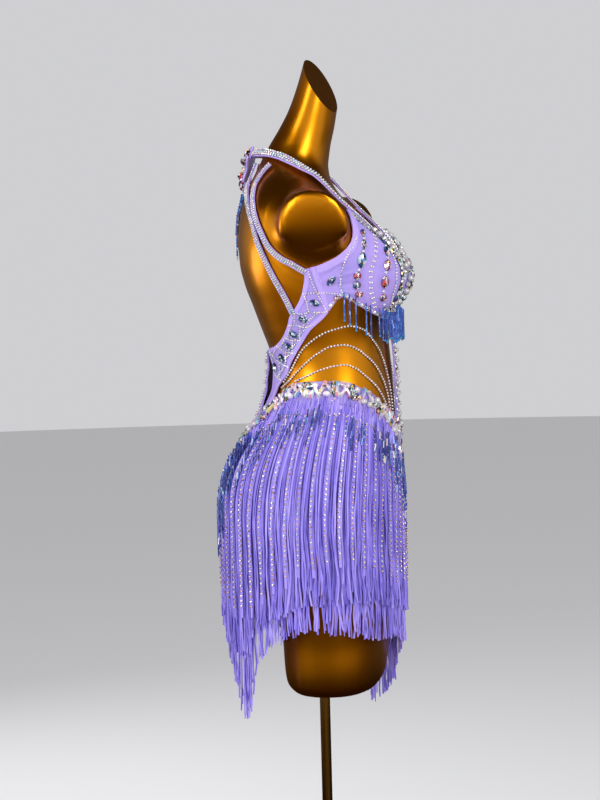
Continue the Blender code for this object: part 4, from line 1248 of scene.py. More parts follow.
# ------------------------------------------------------------------ the display form
@dataclass
class DisplayForm:
    """The limbless figure: a smooth lacquered shell with round arm caps and a slanting neck cut."""

    SMOOTHINGS, BODY_SMOOTHINGS, SMOOTHING_SHARE = 100, 28, 0.6
    STUB_START, CAP_EDGE = 130, 152

    inset: float = 0.4
    voxel: float = 3.2
    cap_forward: float = 26.0
    cap_height: float = 1316.0
    cap_radius: float = 52.0
    cut_back: tuple[float, float] = (-6.0, 1574.0)
    cut_front: tuple[float, float] = (42.0, 1493.0)
    cut_turn: float = 11.5
    cap_tilt: float = 0.3
    cap_curl: float = 12.0
    stub: tuple[tuple[float, float, float, float], ...] = (
        (60, 6, 1325, 44), (100, 12, 1322, 50), (140, 19.5, 1318.5, 52), (154, 23, 1317, 52.8),
        (159, 24.4, 1316.6, 52.4), (162.2, 25.3, 1316.3, 50.6), (164.4, 26, 1316.1, 47.4),
        (166.2, 26.3, 1316, 42), (167.8, 26.4, 1316, 31), (168.8, 26.5, 1316, 16),
        (169.1, 26.5, 1316, 4))

    def build(self) -> Pieces:
        """Builds the shell, fuses the arm stubs into it, cuts the neck and rounds the joins.

        Returns:
            The finished pieces.
        """
        form = self._body()
        self._fuse_stubs(form)
        self._cut_neck(form)
        return [finished(form, "gold_lacquer", "dress_form")]

    def _body(self) -> Object:
        """Lofts the figure through fine levels, closed below and above."""
        levels = np.concatenate([
            [608, 608.6, 609.6, 611, 613.5, 617, 622, 628], np.arange(636, 1180, 8.0),
            np.arange(1180, 1440, 4.0), np.arange(1440, 1609, 6.0)])
        grid = self._skin(levels, np.arange(0, 360, 2.0))
        return Draft().loft(grid).piece("dress_form_shell", GOLD, crease=None)

    def _skin(self, levels: Array, turns: Array) -> Array:
        """A grid on the form's face, a row for each level."""
        return SKIN.skin(turns[None, :], levels[:, None], np.full((len(levels), 1), -self.inset))

    def _leaning(self, rise: Array) -> Array:
        """How far further out a cap stands at each height: it leans, and curves in below."""
        return (self.cap_tilt * rise
                - self.cap_curl * (np.maximum(-rise, 0) / self.cap_radius) ** 2)

    def _fuse_stubs(self, form: Object) -> None:
        """Joins the arm stubs to the body, in one skin whose join is blended."""
        turns = np.linspace(0, 2 * np.pi, 72, endpoint=False)
        tools = []
        for side, word in SIDES:
            rings = []
            for out, forward, height, radius in self.stub:
                rise = radius * np.sin(turns)
                lean = self._leaning(rise) * (out > self.STUB_START)
                rings.append(np.column_stack([
                    -side * (out + lean), -forward - radius * np.cos(turns), height + rise]))
            tools.append(Draft().loft(np.array(rings)).piece(f"arm_stub_{word}", GOLD))
        mesh = bmesh.new()
        for thing in (form, *tools):
            mesh.from_mesh(thing.data)
        mesh.to_mesh(form.data)
        mesh.free()
        for tool in tools:
            dropped(tool)
        remesh = form.modifiers.new("fuse", "REMESH")
        remesh.mode, remesh.voxel_size = "VOXEL", self.voxel * MM
        remesh.use_smooth_shade = True
        self._blend(applied(form))

    def _blend(self, form: Object) -> None:
        """Rounds the remeshed skin, most round the arm caps' necks, and keeps the caps flat."""
        mesh = form.data
        points = np.empty(len(mesh.vertices) * 3)
        mesh.vertices.foreach_get("co", points)
        points = points.reshape(-1, 3)
        edges = np.empty(len(mesh.edges) * 2, int)
        mesh.edges.foreach_get("vertices", edges)
        edges = edges.reshape(-1, 2)
        degree = np.bincount(edges.ravel(), minlength=len(points))[:, None]
        side = np.abs(points[:, 0]) / MM
        rise = points[:, 2] / MM - self.cap_height
        side = side - self._leaning(rise) * np.clip((side - 100) / 20, 0, 1)
        from_axis = np.hypot(points[:, 1] / MM + self.cap_forward, rise)
        under = np.clip((-rise - 6) / 34, 0, 1) ** 1.5 * np.clip((from_axis - 30) / 14, 0, 1)
        shoulder = (np.clip((side - 84) / 14, 0, 1)
                    * np.maximum(np.clip((self.CAP_EDGE - side) / 10, 0, 1), under)
                    * np.clip((84 - from_axis) / 14, 0, 1))
        bottom = np.clip((points[:, 2] / MM - 611) / 6, 0.1, 1)
        weight = np.clip(np.maximum(0.9, shoulder) * bottom, 0, 1)
        rim = (side > self.CAP_EDGE) & (from_axis > 40) & (from_axis < 60) & (under < 0.1)
        weight = np.where(rim, 0.2, weight)[:, None]
        for step in range(self.SMOOTHINGS):
            total = np.zeros_like(points)
            np.add.at(total, edges[:, 0], points[edges[:, 1]])
            np.add.at(total, edges[:, 1], points[edges[:, 0]])
            reach = weight if step < self.BODY_SMOOTHINGS else weight * (shoulder > 0.2)[:, None]
            points += (total / degree - points) * self.SMOOTHING_SHARE * reach
        share = (np.maximum(np.clip((from_axis - 86) / 14, 0, 1), np.clip((82 - side) / 14, 0, 1))
                 * np.clip((points[:, 2] / MM - 614) / 8, 0, 1))
        points = self._settled(points / MM, share) * MM
        mesh.vertices.foreach_set("co", points.ravel())
        mesh.update()

    def _settled(self, points: Array, share: Array) -> Array:
        """Points moved onto the figure's own skin, which takes the voxel steps out of them.

        Args:
            points: the shell's points, in millimetres.
            share: how much each one moves, from 0 to 1.
        Returns:
            The moved points.
        """
        levels, turns = np.arange(606, 1612, 2.0), np.arange(-180, 180, 1.0)
        grid = self._skin(levels, turns)
        middle = (grid[:, 0, 1] + grid[:, 180, 1]) / 2
        back = grid[..., 1] - middle[:, None]
        facing = np.degrees(np.arctan2(-grid[..., 0], -back))
        table = np.array([np.interp(turns, ways, reach, period=360)
                          for ways, reach in zip(facing, np.hypot(grid[..., 0], back))])
        row = np.clip((points[:, 2] - levels[0]) / 2.0, 0, len(levels) - 1.001)
        low, up = row.astype(int), row - row.astype(int)
        centre = np.interp(points[:, 2], levels, middle)
        way = np.arctan2(-points[:, 0], centre - points[:, 1])
        turn = (np.degrees(way) + 180) % 360
        left, over = turn.astype(int), turn - turn.astype(int)
        right = (left + 1) % 360
        reach = ((table[low, left] * (1 - over) + table[low, right] * over) * (1 - up)
                 + (table[low + 1, left] * (1 - over) + table[low + 1, right] * over) * up)
        moved = np.stack([-reach * np.sin(way), centre - reach * np.cos(way), points[:, 2]], -1)
        return points + (moved - points) * share[:, None]

    def _cut_neck(self, form: Object) -> None:
        """Cuts the neck along its slanting plane, fills the cut and keeps its edge sharp."""
        (back, back_height), (front, front_height) = self.cut_back, self.cut_front
        slope = Vector((0, back - front, front_height - back_height)).normalized()
        up = Vector((0, -slope.z, slope.y))
        up = up if up.z > 0 else -up
        turn = math.radians(self.cut_turn)
        up = up * math.cos(turn) - Vector((math.sin(turn), 0, 0))
        middle = Vector((0, -(back + front) / 2, (back_height + front_height) / 2)) * MM
        edit = bmesh.new()
        edit.from_mesh(form.data)
        geometry = edit.verts[:] + edit.edges[:] + edit.faces[:]
        cut = bmesh.ops.bisect_plane(edit, geom=geometry, plane_co=middle, plane_no=up,
                                     clear_outer=True)
        rim = [edge for edge in cut["geom_cut"] if isinstance(edge, bmesh.types.BMEdge)]
        bmesh.ops.holes_fill(edit, edges=rim, sides=0)
        for face in edit.faces:
            face.smooth = True
        for edge in rim:
            edge.smooth = False
        bmesh.ops.recalc_face_normals(edit, faces=edit.faces)
        edit.to_mesh(form.data)
        edit.free()


@dataclass
class Stand:
    """The turned brass rod and the round base plate with its collar."""

    base_radius: float = 180.0
    plate: float = 8.0
    bevel: float = 2.0
    collar_radius: float = 16.0
    collar_height: float = 14.0
    rod_radius: float = 8.0
    form_bottom: float = 608.0

    def build(self) -> Pieces:
        """Builds the base and the rod with rounded edges.

        Returns:
            The finished pieces.
        """
        edge, round_off = self.plate - self.bevel, self.bevel * 0.3
        collar = self.plate + self.collar_height
        base = self._turned("stand_base_plate", (
            (self.base_radius - self.bevel, 0), (self.base_radius - round_off, round_off),
            (self.base_radius, self.bevel), (self.base_radius, edge),
            (self.base_radius - round_off, self.plate - round_off),
            (self.base_radius - self.bevel, self.plate),
            (self.collar_radius + 1.5, self.plate), (self.collar_radius, self.plate + 1.5),
            (self.collar_radius, collar - 2), (self.collar_radius - 0.6, collar - 0.6),
            (self.collar_radius - 2, collar)))
        rod = self._turned("stand_rod_tube", (
            (self.rod_radius, collar + 0.4), (self.rod_radius, 300.0),
            (self.rod_radius, self.form_bottom - 0.4)))
        return [finished(base, "dark_brass", "stand_base"),
                finished(rod, "dark_brass", "stand_rod")]

    @staticmethod
    def _turned(name: str, profile: Sequence[tuple[float, float]]) -> Object:
        """A closed body of revolution from its radii and heights."""
        turns = np.linspace(0, 2 * np.pi, 96, endpoint=False)
        rings = np.array([[(r * math.cos(a), r * math.sin(a), z) for a in turns]
                          for r, z in profile])
        return Draft().loft(rings).piece(name, BRASS, crease=35.0)


# ------------------------------------------------------------------ cloth on the figure
def cloth(name: str, grid: tuple[Array, Array], lift: Array | float, finish: Finish,
          thickness: float = 1.0, loop: bool = False) -> Object:
    """Makes a thin shell of cloth on the figure.

    Args:
        name: the piece's name.
        grid: angles and heights of its points.
        lift: its inner face above the figure.
        finish: what it is made of.
        thickness: its thickness.
        loop: whether it goes all round.
    Returns:
        The new piece.
    """
    lift = np.broadcast_to(np.asarray(lift, float), grid[0].shape)
    return Draft().shell(SKIN.skin(*grid, lift), SKIN.skin(*grid, lift + thickness),
                         loop).piece(name, finish, crease=60.0)


def coons(bottom: SmoothTable, top: SmoothTable, near: SmoothTable, far: SmoothTable,
          cells: int) -> tuple[Array, Array]:
    """Angles and heights that fill the space between four edges smoothly."""
    s, t = np.meshgrid(np.linspace(0, 1, cells + 1), np.linspace(0, 1, cells + 1))
    s3, t3 = s[..., None], t[..., None]
    corner = ((1 - s3) * (1 - t3) * bottom(0.0) + s3 * (1 - t3) * bottom(1.0)
              + (1 - s3) * t3 * top(0.0) + s3 * t3 * top(1.0))
    filled = (1 - t3) * bottom(s) + t3 * top(s) + (1 - s3) * near(t) + s3 * far(t) - corner
    return filled[..., 0], filled[..., 1]


@dataclass
class Cup:
    """One cup: stretch cloth over the bust with a bound armhole and columns of stones."""

    side: int
    word: str
    lift: float = 1.0
    thickness: float = 1.1
    binding_width: float = 11.0
    creases: tuple[Crease, ...] = (
        Crease((84, 1240), (66, 1262), 2.6, -1.5), Crease((84, 1236), (62, 1248), 2.4, 1.3),
        Crease((83, 1228), (60, 1232), 2.8, -1.5), Crease((82, 1220), (63, 1217), 2.4, 1.2),
        Crease((81, 1212), (66, 1205), 2.6, -1.3), Crease((82, 1246), (70, 1264), 2.2, 1.2),
        Crease((58, 1290), (48, 1268), 3.0, -0.9), Crease((40, 1184), (48, 1204), 3.4, -0.9))

    def build(self) -> Pieces:
        """Builds the cup, its bindings and its stones.

        Returns:
            The finished pieces.
        """
        angle, height = coons(*map(along, (CUP_BOTTOM, CUP_ARMHOLE, CUP_NECKLINE, CUP_SEAM)), 56)
        lift = self.lift + 0.5 + creased(angle, height, self.creases) * 0.8
        cup = cloth(f"cup_cloth_{self.word}", (self.side * angle, height),
                    np.maximum(lift, 0.5), LILAC, self.thickness)
        finished(cup, "lilac_stretch_cloth", f"cup_{self.word}")
        binding = self._bindings()
        return [cup, binding, *self._stones()]

    def _route(self, marks: Sequence[Mark], lift: float = 0.0) -> Route:
        """A route on this side."""
        return Route(mirrored(marks, self.side), lift)

    def _bindings(self) -> Object:
        """Folded bindings round the armhole and along the under-bust seam."""
        draft = Draft()
        surface = self.lift + 0.4 + self.thickness
        tape(draft, self._route(CUP_ARMHOLE, surface), self.binding_width, 0.9,
             aside=self.side * self.binding_width / 2)
        tape(draft, self._route(CUP_SEAM, surface), 2.2, 0.35)
        tape(draft, self._route(CUP_BOTTOM, surface), 6.0, 0.7, aside=-self.side * 3.0)
        return finished(draft.piece(f"cup_binding_{self.word}", BINDING), "lilac_stretch_cloth")

    def _stones(self) -> Pieces:
        """Columns of stones down the cup, and bands along its neckline and bottom edge."""
        work = StoneWork(f"cup_{self.word}_stones", 11 + self.side)
        top = self.lift + 0.5 + self.thickness
        for marks, spacing in (
                (marked(48, 1302, 58.5, 1284, 65.5, 1268, 70.5, 1244, 71.5, 1226, 69.5, 1213), 4.2),
                (marked(28, 1278, 34, 1258, 37.5, 1236, 37, 1216, 31, 1200, 26, 1187), 4.6)):
            work.row(self._route(marks, top), spacing,
                     (Cut.CHATON, SMALL_CRYSTAL, (3.6, 3.6, 2.2)), ends=(2, 2))
        dot = (Cut.ROUND, CRYSTAL, (5, 5, 2.8))
        column = marked(40.5, 1305, 49, 1286, 56, 1266, 61, 1246, 62.5, 1232, 61, 1214)
        work.singles(
            self._route(column, top),
            (0.02, Cut.PEAR, FANCY, (11, 14, 5)), (0.125, Cut.ROUND, CRYSTAL, (5.5, 5.5, 3)),
            (0.235, Cut.NAVETTE, FANCY, (10, 17, 5)), (0.355, *dot),
            (0.50, Cut.NAVETTE, FANCY, (14.5, 25, 6)), (0.645, *dot),
            (0.735, Cut.ROUND, RED_FANCY, (12.5, 12.5, 5.4)),
            (0.865, Cut.ROUND, FANCY, (12.5, 12.5, 5.4)),
            (0.99, Cut.OVAL, RED_FANCY, (12.5, 11, 5)))
        column = marked(28, 1304, 35, 1293, 45, 1273, 50.5, 1259, 54.6, 1242, 55, 1224, 51.5, 1207,
                        48, 1196)
        for aside in (-1.7, 1.7):
            work.row(self._route(column, top), 8.0, (Cut.SQUARE, STUD, (3.0, 3.3, 2.4)),
                     aside=aside)
        column = marked(25, 1291, 34, 1276, 41, 1258, 46, 1234, 46, 1218, 42, 1203, 35, 1190)
        work.singles(
            self._route(column, top),
            (0.0, Cut.PEAR, FANCY, (10, 14, 5)), (0.1, *dot),
            (0.2, Cut.NAVETTE, FANCY, (13, 20, 5.6)), (0.3, *dot),
            (0.4, Cut.NAVETTE, RED_FANCY, (13, 18, 5.8)), (0.49, *dot),
            (0.6, Cut.NAVETTE, RED_FANCY, (14, 20, 5.8)), (0.7, Cut.ROUND, CRYSTAL, (4, 4, 2.6)),
            (0.78, Cut.ROUND, RED_FANCY, (12, 12, 5.2)), (0.88, Cut.ROUND, CRYSTAL, (5, 5, 3)),
            (0.98, Cut.ROUND, FANCY, (10, 12, 5)))
        column = marked(25, 1276, 28, 1256, 30, 1238, 29, 1218, 25, 1202, 19, 1188)
        work.row(self._route(column, top), 10.4, (Cut.NAVETTE, FANCY, (11, 15, 5.4)),
                 (Cut.ROUND, SILVER_STONE, (8, 8, 5)))
        for column in (marked(20, 1274, 21, 1256, 22.5, 1236, 21, 1216, 17, 1200, 13, 1186),
                       marked(14.5, 1262, 15.5, 1238, 14, 1214, 9, 1190)):
            work.row(self._route(column, top), 11.0, (Cut.PEARL, PEARL, (10.2, 10.2, 9.8)),
                     (Cut.ROUND, SILVER_STONE, (9.4, 9.4, 6.4)))
        flank = self._route(marked(78, 1232, 75, 1240), top)
        work.set(Cut.NAVETTE, NIGHT, flank.at(np.array([0.5])), (11, 18, 5), 0.12)
        self._edges(work, top)
        return work.pieces("crystal_stones")

    def _edges(self, work: StoneWork, top: float) -> None:
        """Clear and grey stones inside the neck band, and mixed ones under the bust."""
        inside = self._route(marked(8.8, 1212, 14.5, 1250, 21, 1292, 29, 1334), top)
        for cut, aside, size, spacing in ((Cut.ROUND, 0.5, 7.0, 7.6), (Cut.ROUND, 6.0, 4.6, 5.4),
                                          (Cut.CHATON, 9.8, 3.4, 4.4)):
            work.row(inside, spacing, (cut, SILVER_STONE, (size, size, size * 0.5)), ends=(4, 4),
                     aside=self.side * aside)
        upper = self._route(marked(14.5, 1247, 17.5, 1268, 21, 1288, 25, 1306), top + 2.4)
        work.row(upper, 9.4, (Cut.ROUND, SILVER_STONE, (10.5, 10.5, 7)),
                 (Cut.PEARL, PEARL, (9, 9, 8.6)), (Cut.NAVETTE, SILVER_STONE, (10, 14, 7)),
                 aside=self.side * 6.0)
        small = (Cut.CHATON, CRYSTAL, (5, 5, 2.6))
        work.row(self._route(CUP_BOTTOM, top + 0.6), 6.6,
                 (Cut.NAVETTE, RED_FANCY, (7.5, 10.5, 4)), small,
                 (Cut.ROUND, CRYSTAL, (6.6, 6.6, 3.4)), small, ends=(6, 8),
                 aside=-self.side * 3.2)


@dataclass
class Wing:
    """One side panel from the cup's seam to the small of the back, with a trellis of stones."""

    side: int
    word: str
    thickness: float = 1.1
    binding_width: float = 6.5
    fields: tuple[tuple[float, float, float, float], ...] = (
        (88, 1204, 2, 14), (97, 1180, 2.5, 14), (108.5, 1158, 3, 14), (118.5, 1140, 4, 13.5),
        (130.5, 1122, 6, 13.5), (146, 1107, 12, 13))
    rungs: tuple[tuple[Mark, ...], ...] = (
        marked(93, 1218, 86.5, 1219, 78, 1218, 72, 1216),
        marked(102, 1190, 97, 1188, 92, 1190, 82, 1190),
        marked(110, 1171, 103.5, 1172, 98, 1168, 91, 1171),
        marked(119, 1154, 112, 1149, 102, 1149),
        marked(132, 1141, 123, 1131, 113, 1129),
        marked(150, 1132, 137, 1117, 125, 1108),
        marked(152, 1104, 144, 1092, 136, 1087))
    creases: tuple[Crease, ...] = (
        Crease((84, 1234), (93, 1214), 3.2, -0.8), Crease((85, 1222), (92, 1200), 2.8, 0.6),
        Crease((110, 1134), (118, 1150), 3.4, -0.6), Crease((126, 1106), (134, 1128), 3.4, -0.6))

    def lift(self, angle: Array) -> Array:
        """The panel's inner face above the figure, which grows near the small of the back."""
        near_back = np.clip((np.abs(angle) - 125) / 25, 0, 1)
        return 1.3 + 1.6 * near_back

    def build(self) -> Pieces:
        """Builds the panel, its bindings and its trellis.

        Returns:
            The finished pieces.
        """
        up, across = 72, 22
        t = np.linspace(0, 1, up + 1)[:, None]
        s = np.linspace(0, 1, across + 1)[None, :, None]
        grid = (1 - s) * along(WING_FRONT)(t) + s * along(WING_BACK)(t)
        angle, height = grid[..., 0], grid[..., 1]
        height = np.maximum(height, belt_top(angle) + 0.8)
        lift = self.lift(angle) + 0.3 + 0.8 * creased(angle, height, self.creases)
        wing = cloth(f"wing_cloth_{self.word}", (self.side * angle, height), lift, LILAC,
                     self.thickness)
        finished(wing, "lilac_stretch_cloth", f"wing_{self.word}")
        draft = Draft()
        for marks, way in ((WING_FRONT, -1), (WING_BACK, 1)):
            lifted = [Lifted(self.side * m.angle, max(m.height, float(belt_top(m.angle)) + 1),
                             float(self.lift(m.angle)) + 0.3 + self.thickness) for m in marks]
            tape(draft, Route(lifted), self.binding_width, 0.9,
                 aside=way * self.side * self.binding_width / 2)
        binding = finished(draft.piece(f"wing_binding_{self.word}", BINDING), "lilac_stretch_cloth")
        return [wing, binding, *self._stones()]

    def _route(self, marks: Sequence[Mark]) -> Route:
        """A route on this side's cloth."""
        return Route([Lifted(self.side * m.angle, m.height, float(self.lift(m.angle)) + 1.5)
                      for m in marks])

    def _stones(self) -> Pieces:
        """Large ovals in the middle of crossing lines of small stones."""
        work = StoneWork(f"wing_{self.word}_stones", 31 + self.side)
        for i, (angle, height, turned, size) in enumerate(self.fields):
            here = self._route((Mark(angle, height), Mark(angle - 2, height - turned)))
            work.set(Cut.OVAL, NIGHT, here.at(np.array([0.0])), (size * 0.72, size * 1.15, 5.6),
                     (0.1, 0.3, 0.02, 0.2, 0.4, 0.1)[i])
        lines = [*self.rungs, marked(90, 1250, 87.5, 1230, 84, 1208, 80.8, 1192),
                 marked(93, 1217, 92, 1205, 92, 1192)]
        lines += [(self._between(upper, above), self._between(lower, below))
                  for upper, lower in zip(self.rungs[1:], self.rungs[2:])
                  for above, below in ((0.04, 0.22), (0.5, 0.86), (0.86, 0.6))]
        for line in lines:
            work.row(self._route(line), 3.9, (Cut.CHATON, SMALL_CRYSTAL, (3.1, 3.1, 1.9)))
        return work.pieces("crystal_stones")

    @staticmethod
    def _between(rung: Sequence[Mark], share: float) -> Mark:
        """The place this far along a rung of the trellis, from the back edge to the front."""
        return Mark(*(float(np.interp(share, np.linspace(0, 1, len(rung)), column))
                      for column in zip(*rung)))


@dataclass
class MiddlePanels:
    """The narrow panels at centre front and centre back that join the bodice to the belt."""

    back_edge: float = 157.5
    back_top: float = 1131.0
    front_edge: float = 6.6
    front_top: float = 1172.5
    thickness: float = 1.2

    def build(self) -> Pieces:
        """Builds both panels with their pearls and stones.

        Returns:
            The finished pieces.
        """
        back = self._panel("back_panel", 180 - self.back_edge, 180.0, self.back_top,
                           back_stand_off, 4)
        front = self._panel("front_panel", self.front_edge, 0.0, self.front_top,
                            front_stand_off, 2)
        return [*back, *front]

    def _panel(self, node: str, half: float, middle: float, top: float, stand_off: SmoothTable,
               columns: int) -> Pieces:
        """One panel from the belt's upper edge to its top.

        Args:
            node: the CAD node that it stands for.
            half: half its width, in degrees.
            middle: the angle of its middle.
            top: the height of its upper edge.
            stand_off: its lift by height.
            columns: how many columns of small stones it has.
        Returns:
            The finished pieces.
        """
        angle = middle + np.linspace(-half, half, 25)[None, :]
        share = np.linspace(0, 1, 49)[:, None]
        angle, share = np.broadcast_arrays(angle, share)
        height = (belt_top(angle) + 0.4) * (1 - share) + top * share
        across = np.abs(angle - middle) / half
        lift = stand_off(height)[..., 0] + 0.25 * np.cos(across * 9) * (1 - across)
        panel = cloth(f"{node}_cloth", (angle, height), lift, LILAC, self.thickness)
        finished(panel, "lilac_stretch_cloth", node)
        draft = Draft()
        work = StoneWork(f"{node}_stones", 50 + len(node))

        def line(offset: float, above: float = 0.0) -> Route:
            """An upright line at this many degrees from the middle."""
            spot, lift = middle + offset, self.thickness + above
            heights = np.linspace(float(belt_top(spot)) + 2, top - 1, 9)
            return Route([Lifted(spot + 0.001 * i, h, float(stand_off(h)[0]) + lift)
                          for i, h in enumerate(heights)])

        for way in (-1, 1):
            tape(draft, line(way * (half - 1.4)), 5.0, 0.8)
            work.row(line(way * (half - 1.4), 0.9), 8.2, (Cut.PEARL, PEARL, (6.2, 6.2, 5.6)),
                     (Cut.ROUND, CRYSTAL, (5.2, 5.2, 2.6)), ends=(4, 4))
        binding = finished(draft.piece(f"{node}_binding", BINDING), "lilac_stretch_cloth")
        work.row(line(0.0), 13.5, (Cut.OVAL, FANCY, (8.5, 12, 4)),
                 (Cut.PEARL, PEARL, (7.5, 7.5, 6.5)), ends=(6, 6))
        for offset in np.linspace(-half * 0.62, half * 0.62, columns):
            work.row(line(float(offset)), 4.6, (Cut.CHATON, SMALL_CRYSTAL, (3, 3, 1.6)),
                     ends=(3, 3))
        return [panel, binding, *work.pieces("crystal_stones")]


# ------------------------------------------------------------------ neck and straps
@dataclass
class NeckAndStraps:
    """The stone band down both necklines and round the neck, and the shoulder-blade straps."""

    band_width: float = 13.0
    strap_width: float = 9.0
    thickness: float = 1.6

    def build(self) -> Pieces:
        """Builds the band and the four straps with their rows of stones.

        Returns:
            The finished pieces.
        """
        left = [mark._replace(angle=360 - mark.angle) for mark in reversed(NECK_BAND[:-1])]
        band = Route(list(NECK_BAND) + left)
        pieces = [self._band("neck_band_cloth", band, self.band_width, "neck_band")]
        work = StoneWork("neck_band_stones", 71)
        pieces.append(self._bed("neck_band_bed", band, 10.6, -0.9))
        for aside, size in ((-4.6, 3.8), (-0.8, 3.9), (3.0, 3.8)):
            work.row(band, size + 0.9, (Cut.CHATON, CRYSTAL, (size, size, size * 0.55)),
                     ends=(2, 2), aside=aside, above=self.thickness + 0.45)
        pieces += work.pieces("crystal_stones")
        straps = StoneWork("back_strap_stones", 72)
        for side, word in SIDES:
            for label, marks in (("inner", INNER_STRAP), ("outer", OUTER_STRAP)):
                route = Route(mirrored(marks, side))
                node = f"back_strap_{label}_{word}"
                pieces.append(self._band(f"{node}_cloth", route, self.strap_width, node))
                pieces.append(self._bed(f"{node}_bed", route, 6.8, 0.6 * side))
                for row in (-1, 0, 1):
                    straps.row(route, 3.6, (Cut.CHATON, SMALL_CRYSTAL, (2.6, 2.6, 1.7)),
                               ends=(1.5 + row, 1.5), aside=(0.6 + row * 2.5) * side,
                               above=self.thickness + 0.4)
        return pieces + straps.pieces("crystal_stones")

    def _bed(self, name: str, route: Route, width: float, aside: float) -> Object:
        """The grey foil bed that rows of stones are set on."""
        draft = Draft()
        tape(draft, route, width, self.thickness + 0.45, aside=aside, crown=0.1, spacing=5.0)
        return finished(draft.piece(name, FOIL_BED), "crystal_stones")

    def _band(self, name: str, route: Route, width: float, node: str) -> Object:
        """One folded band of cloth in place of its solid."""
        draft = Draft()
        tape(draft, route, width, self.thickness, crown=0.25, spacing=3.5)
        return finished(draft.piece(name, BINDING), "lilac_stretch_cloth", node)


@dataclass
class NeckOrnament:
    """A star of pointed stones on a lilac backing at the back of the neck, with a bead tassel."""

    centre_height: float = 1409.0
    tilt: float = 12.2
    petals: int = 6
    radius: float = 37.0
    valley: float = 21.0
    tassel_bottom: float = 1270.0
    tassel_fall: float = 118.0
    tassel_depths: tuple[float, ...] = (-2.0, 1.5, -0.8, 2.0, -1.5, 0.8, 0.0)

    def axes(self) -> tuple[Array, Array, Array, Array]:
        """The star's centre on its back face, and its up, outward and side directions."""
        tilt = math.radians(self.tilt)
        up = np.array((0, -math.sin(tilt), math.cos(tilt)))
        outward = np.array((0, math.cos(tilt), math.sin(tilt)))
        band = NECK_BAND[-1]
        edges = []
        for reach in (-6.5, 6.5):
            angle, height = beside(np.array(180.0), np.array(band.height), up * reach)
            edges.append(SKIN.skin(angle, height, band.lift + 1.6))
        seat = max(edges, key=lambda p: float(p @ outward)) + outward * 0.4
        centre = seat + up * ((self.centre_height - seat[2]) / up[2])
        return centre, up, outward, np.array((1.0, 0, 0))

    def build(self) -> Pieces:
        """Builds the star, its stones and the tassel.

        Returns:
            The finished pieces.
        """
        centre, up, outward, side = self.axes()
        turns = np.linspace(0, 2 * np.pi, 24 * self.petals, endpoint=False)
        way = np.sin(turns)[:, None] * side + np.cos(turns)[:, None] * up
        petal, reach = self._outline(turns)
        rings = np.array([
            centre + way * (reach * scale)[:, None] + outward * (depth + ridge * petal)[:, None]
            for scale, depth, ridge in ((1.0, 0.0, 0.0), (1.0, 2.0, 0.0), (0.96, 2.6, 0.0),
                                        (0.62, 3.4, 1.4), (0.3, 3.9, 0.0), (0.1, 4.2, 0.0))])
        backing = finished(Draft().loft(rings).piece("neck_ornament_backing", BINDING),
                           "lilac_stretch_cloth", "neck_ornament")
        return [backing, *self._stones(centre, up, outward, side),
                *self._tassel(centre, up, outward)]

    def _outline(self, turn: Array | float) -> tuple[Array, Array]:
        """How much of a petal there is at a turn, and how far the star's edge reaches there."""
        petal = 0.5 + 0.5 * np.cos(self.petals * turn)
        return petal, self.valley + (self.radius - self.valley) * petal ** 1.15

    def _stones(self, centre: Array, up: Array, outward: Array, side: Array) -> Pieces:
        """A navette on each petal, small stones round the rim and a large one in the middle."""
        work = StoneWork("neck_ornament_stones", 81)

        def spot(turn: float, reach: float, rise: float) -> tuple[Array, Array, Array]:
            """The place this far out on a spoke, its outward direction and the spoke's."""
            way = math.sin(turn) * side + math.cos(turn) * up
            return centre + way * reach + outward * rise, outward, way

        for i in range(self.petals):
            turn = 2 * math.pi * i / self.petals
            work.set(Cut.NAVETTE, FANCY if i % 3 == 2 else RED_FANCY, spot(turn, 23.0, 4.2),
                     (12.5, 22, 8.5))
            work.set(Cut.ROUND, CRYSTAL, spot(turn, 34.0, 3.0), (5, 5, 3))
            work.set(Cut.PEAR, CRYSTAL, spot(turn + math.pi / self.petals, 15.0, 4.0), (6, 9, 4))
        for i in range(60):
            turn = 2 * math.pi * (i + 0.5) / 60
            work.set(Cut.CHATON, CRYSTAL, spot(turn, float(self._outline(turn)[1]) - 2.4, 2.6),
                     (3.1, 3.1, 1.8))
        work.set(Cut.ROUND, CRYSTAL, spot(0.0, 0.0, 4.4), (14, 14, 8))
        return work.pieces("crystal_stones")

    def _tassel(self, centre: Array, up: Array, outward: Array) -> Pieces:
        """Strands of blue beads that fall from the star, each with a pale end bead."""
        work = StoneWork("neck_tassel_beads", 82)
        top = centre - up * (self.radius + 0.4) + outward * 2.0
        lines = []
        for i, deep in enumerate(self.tassel_depths):
            spread = i - (len(self.tassel_depths) - 1) / 2
            tip = self.tassel_bottom + 17 * abs(spread)
            line = np.array([
                (3.0 * spread, top[1] + deep, top[2]),
                (3.0 * spread, top[1] + 1 + deep, top[2] - 5),
                *((3.3 * spread, self.tassel_fall - 0.09 * max(z - 1312, 0) + 0.6 * deep, z)
                  for z in np.linspace(1338, tip, 5))])
            length = distances(line)[-1]
            points = spaced(line, np.arange(3.0, length, 4.6))
            way = unit(np.gradient(points, axis=0))
            out = np.tile((0.0, 1.0, 0.0), (len(points), 1))
            points = points - out
            work.set(Cut.BUGLE, BUGLE, (points[:-1], out[:-1], way[:-1]), (3.0, 4.2, 3.0))
            work.set(Cut.PEARL, PEARL, (points[-1:], out[-1:], way[-1:]), (3.4, 3.4, 3.4))
            lines.append(spaced(line, np.linspace(0, length, 14)))
        lines = np.array(lines)
        out = np.broadcast_to(np.array((0.0, 1.0, 0.0)), lines.shape)
        thread = strands("neck_tassel_thread", lines, out, NAVY_THREAD, 0.7, 0.6,
                         np.full(len(lines), 0.5))
        return [finished(thread, "blue_bugle_beads", "neck_tassel"),
                *work.pieces("blue_bugle_beads")]


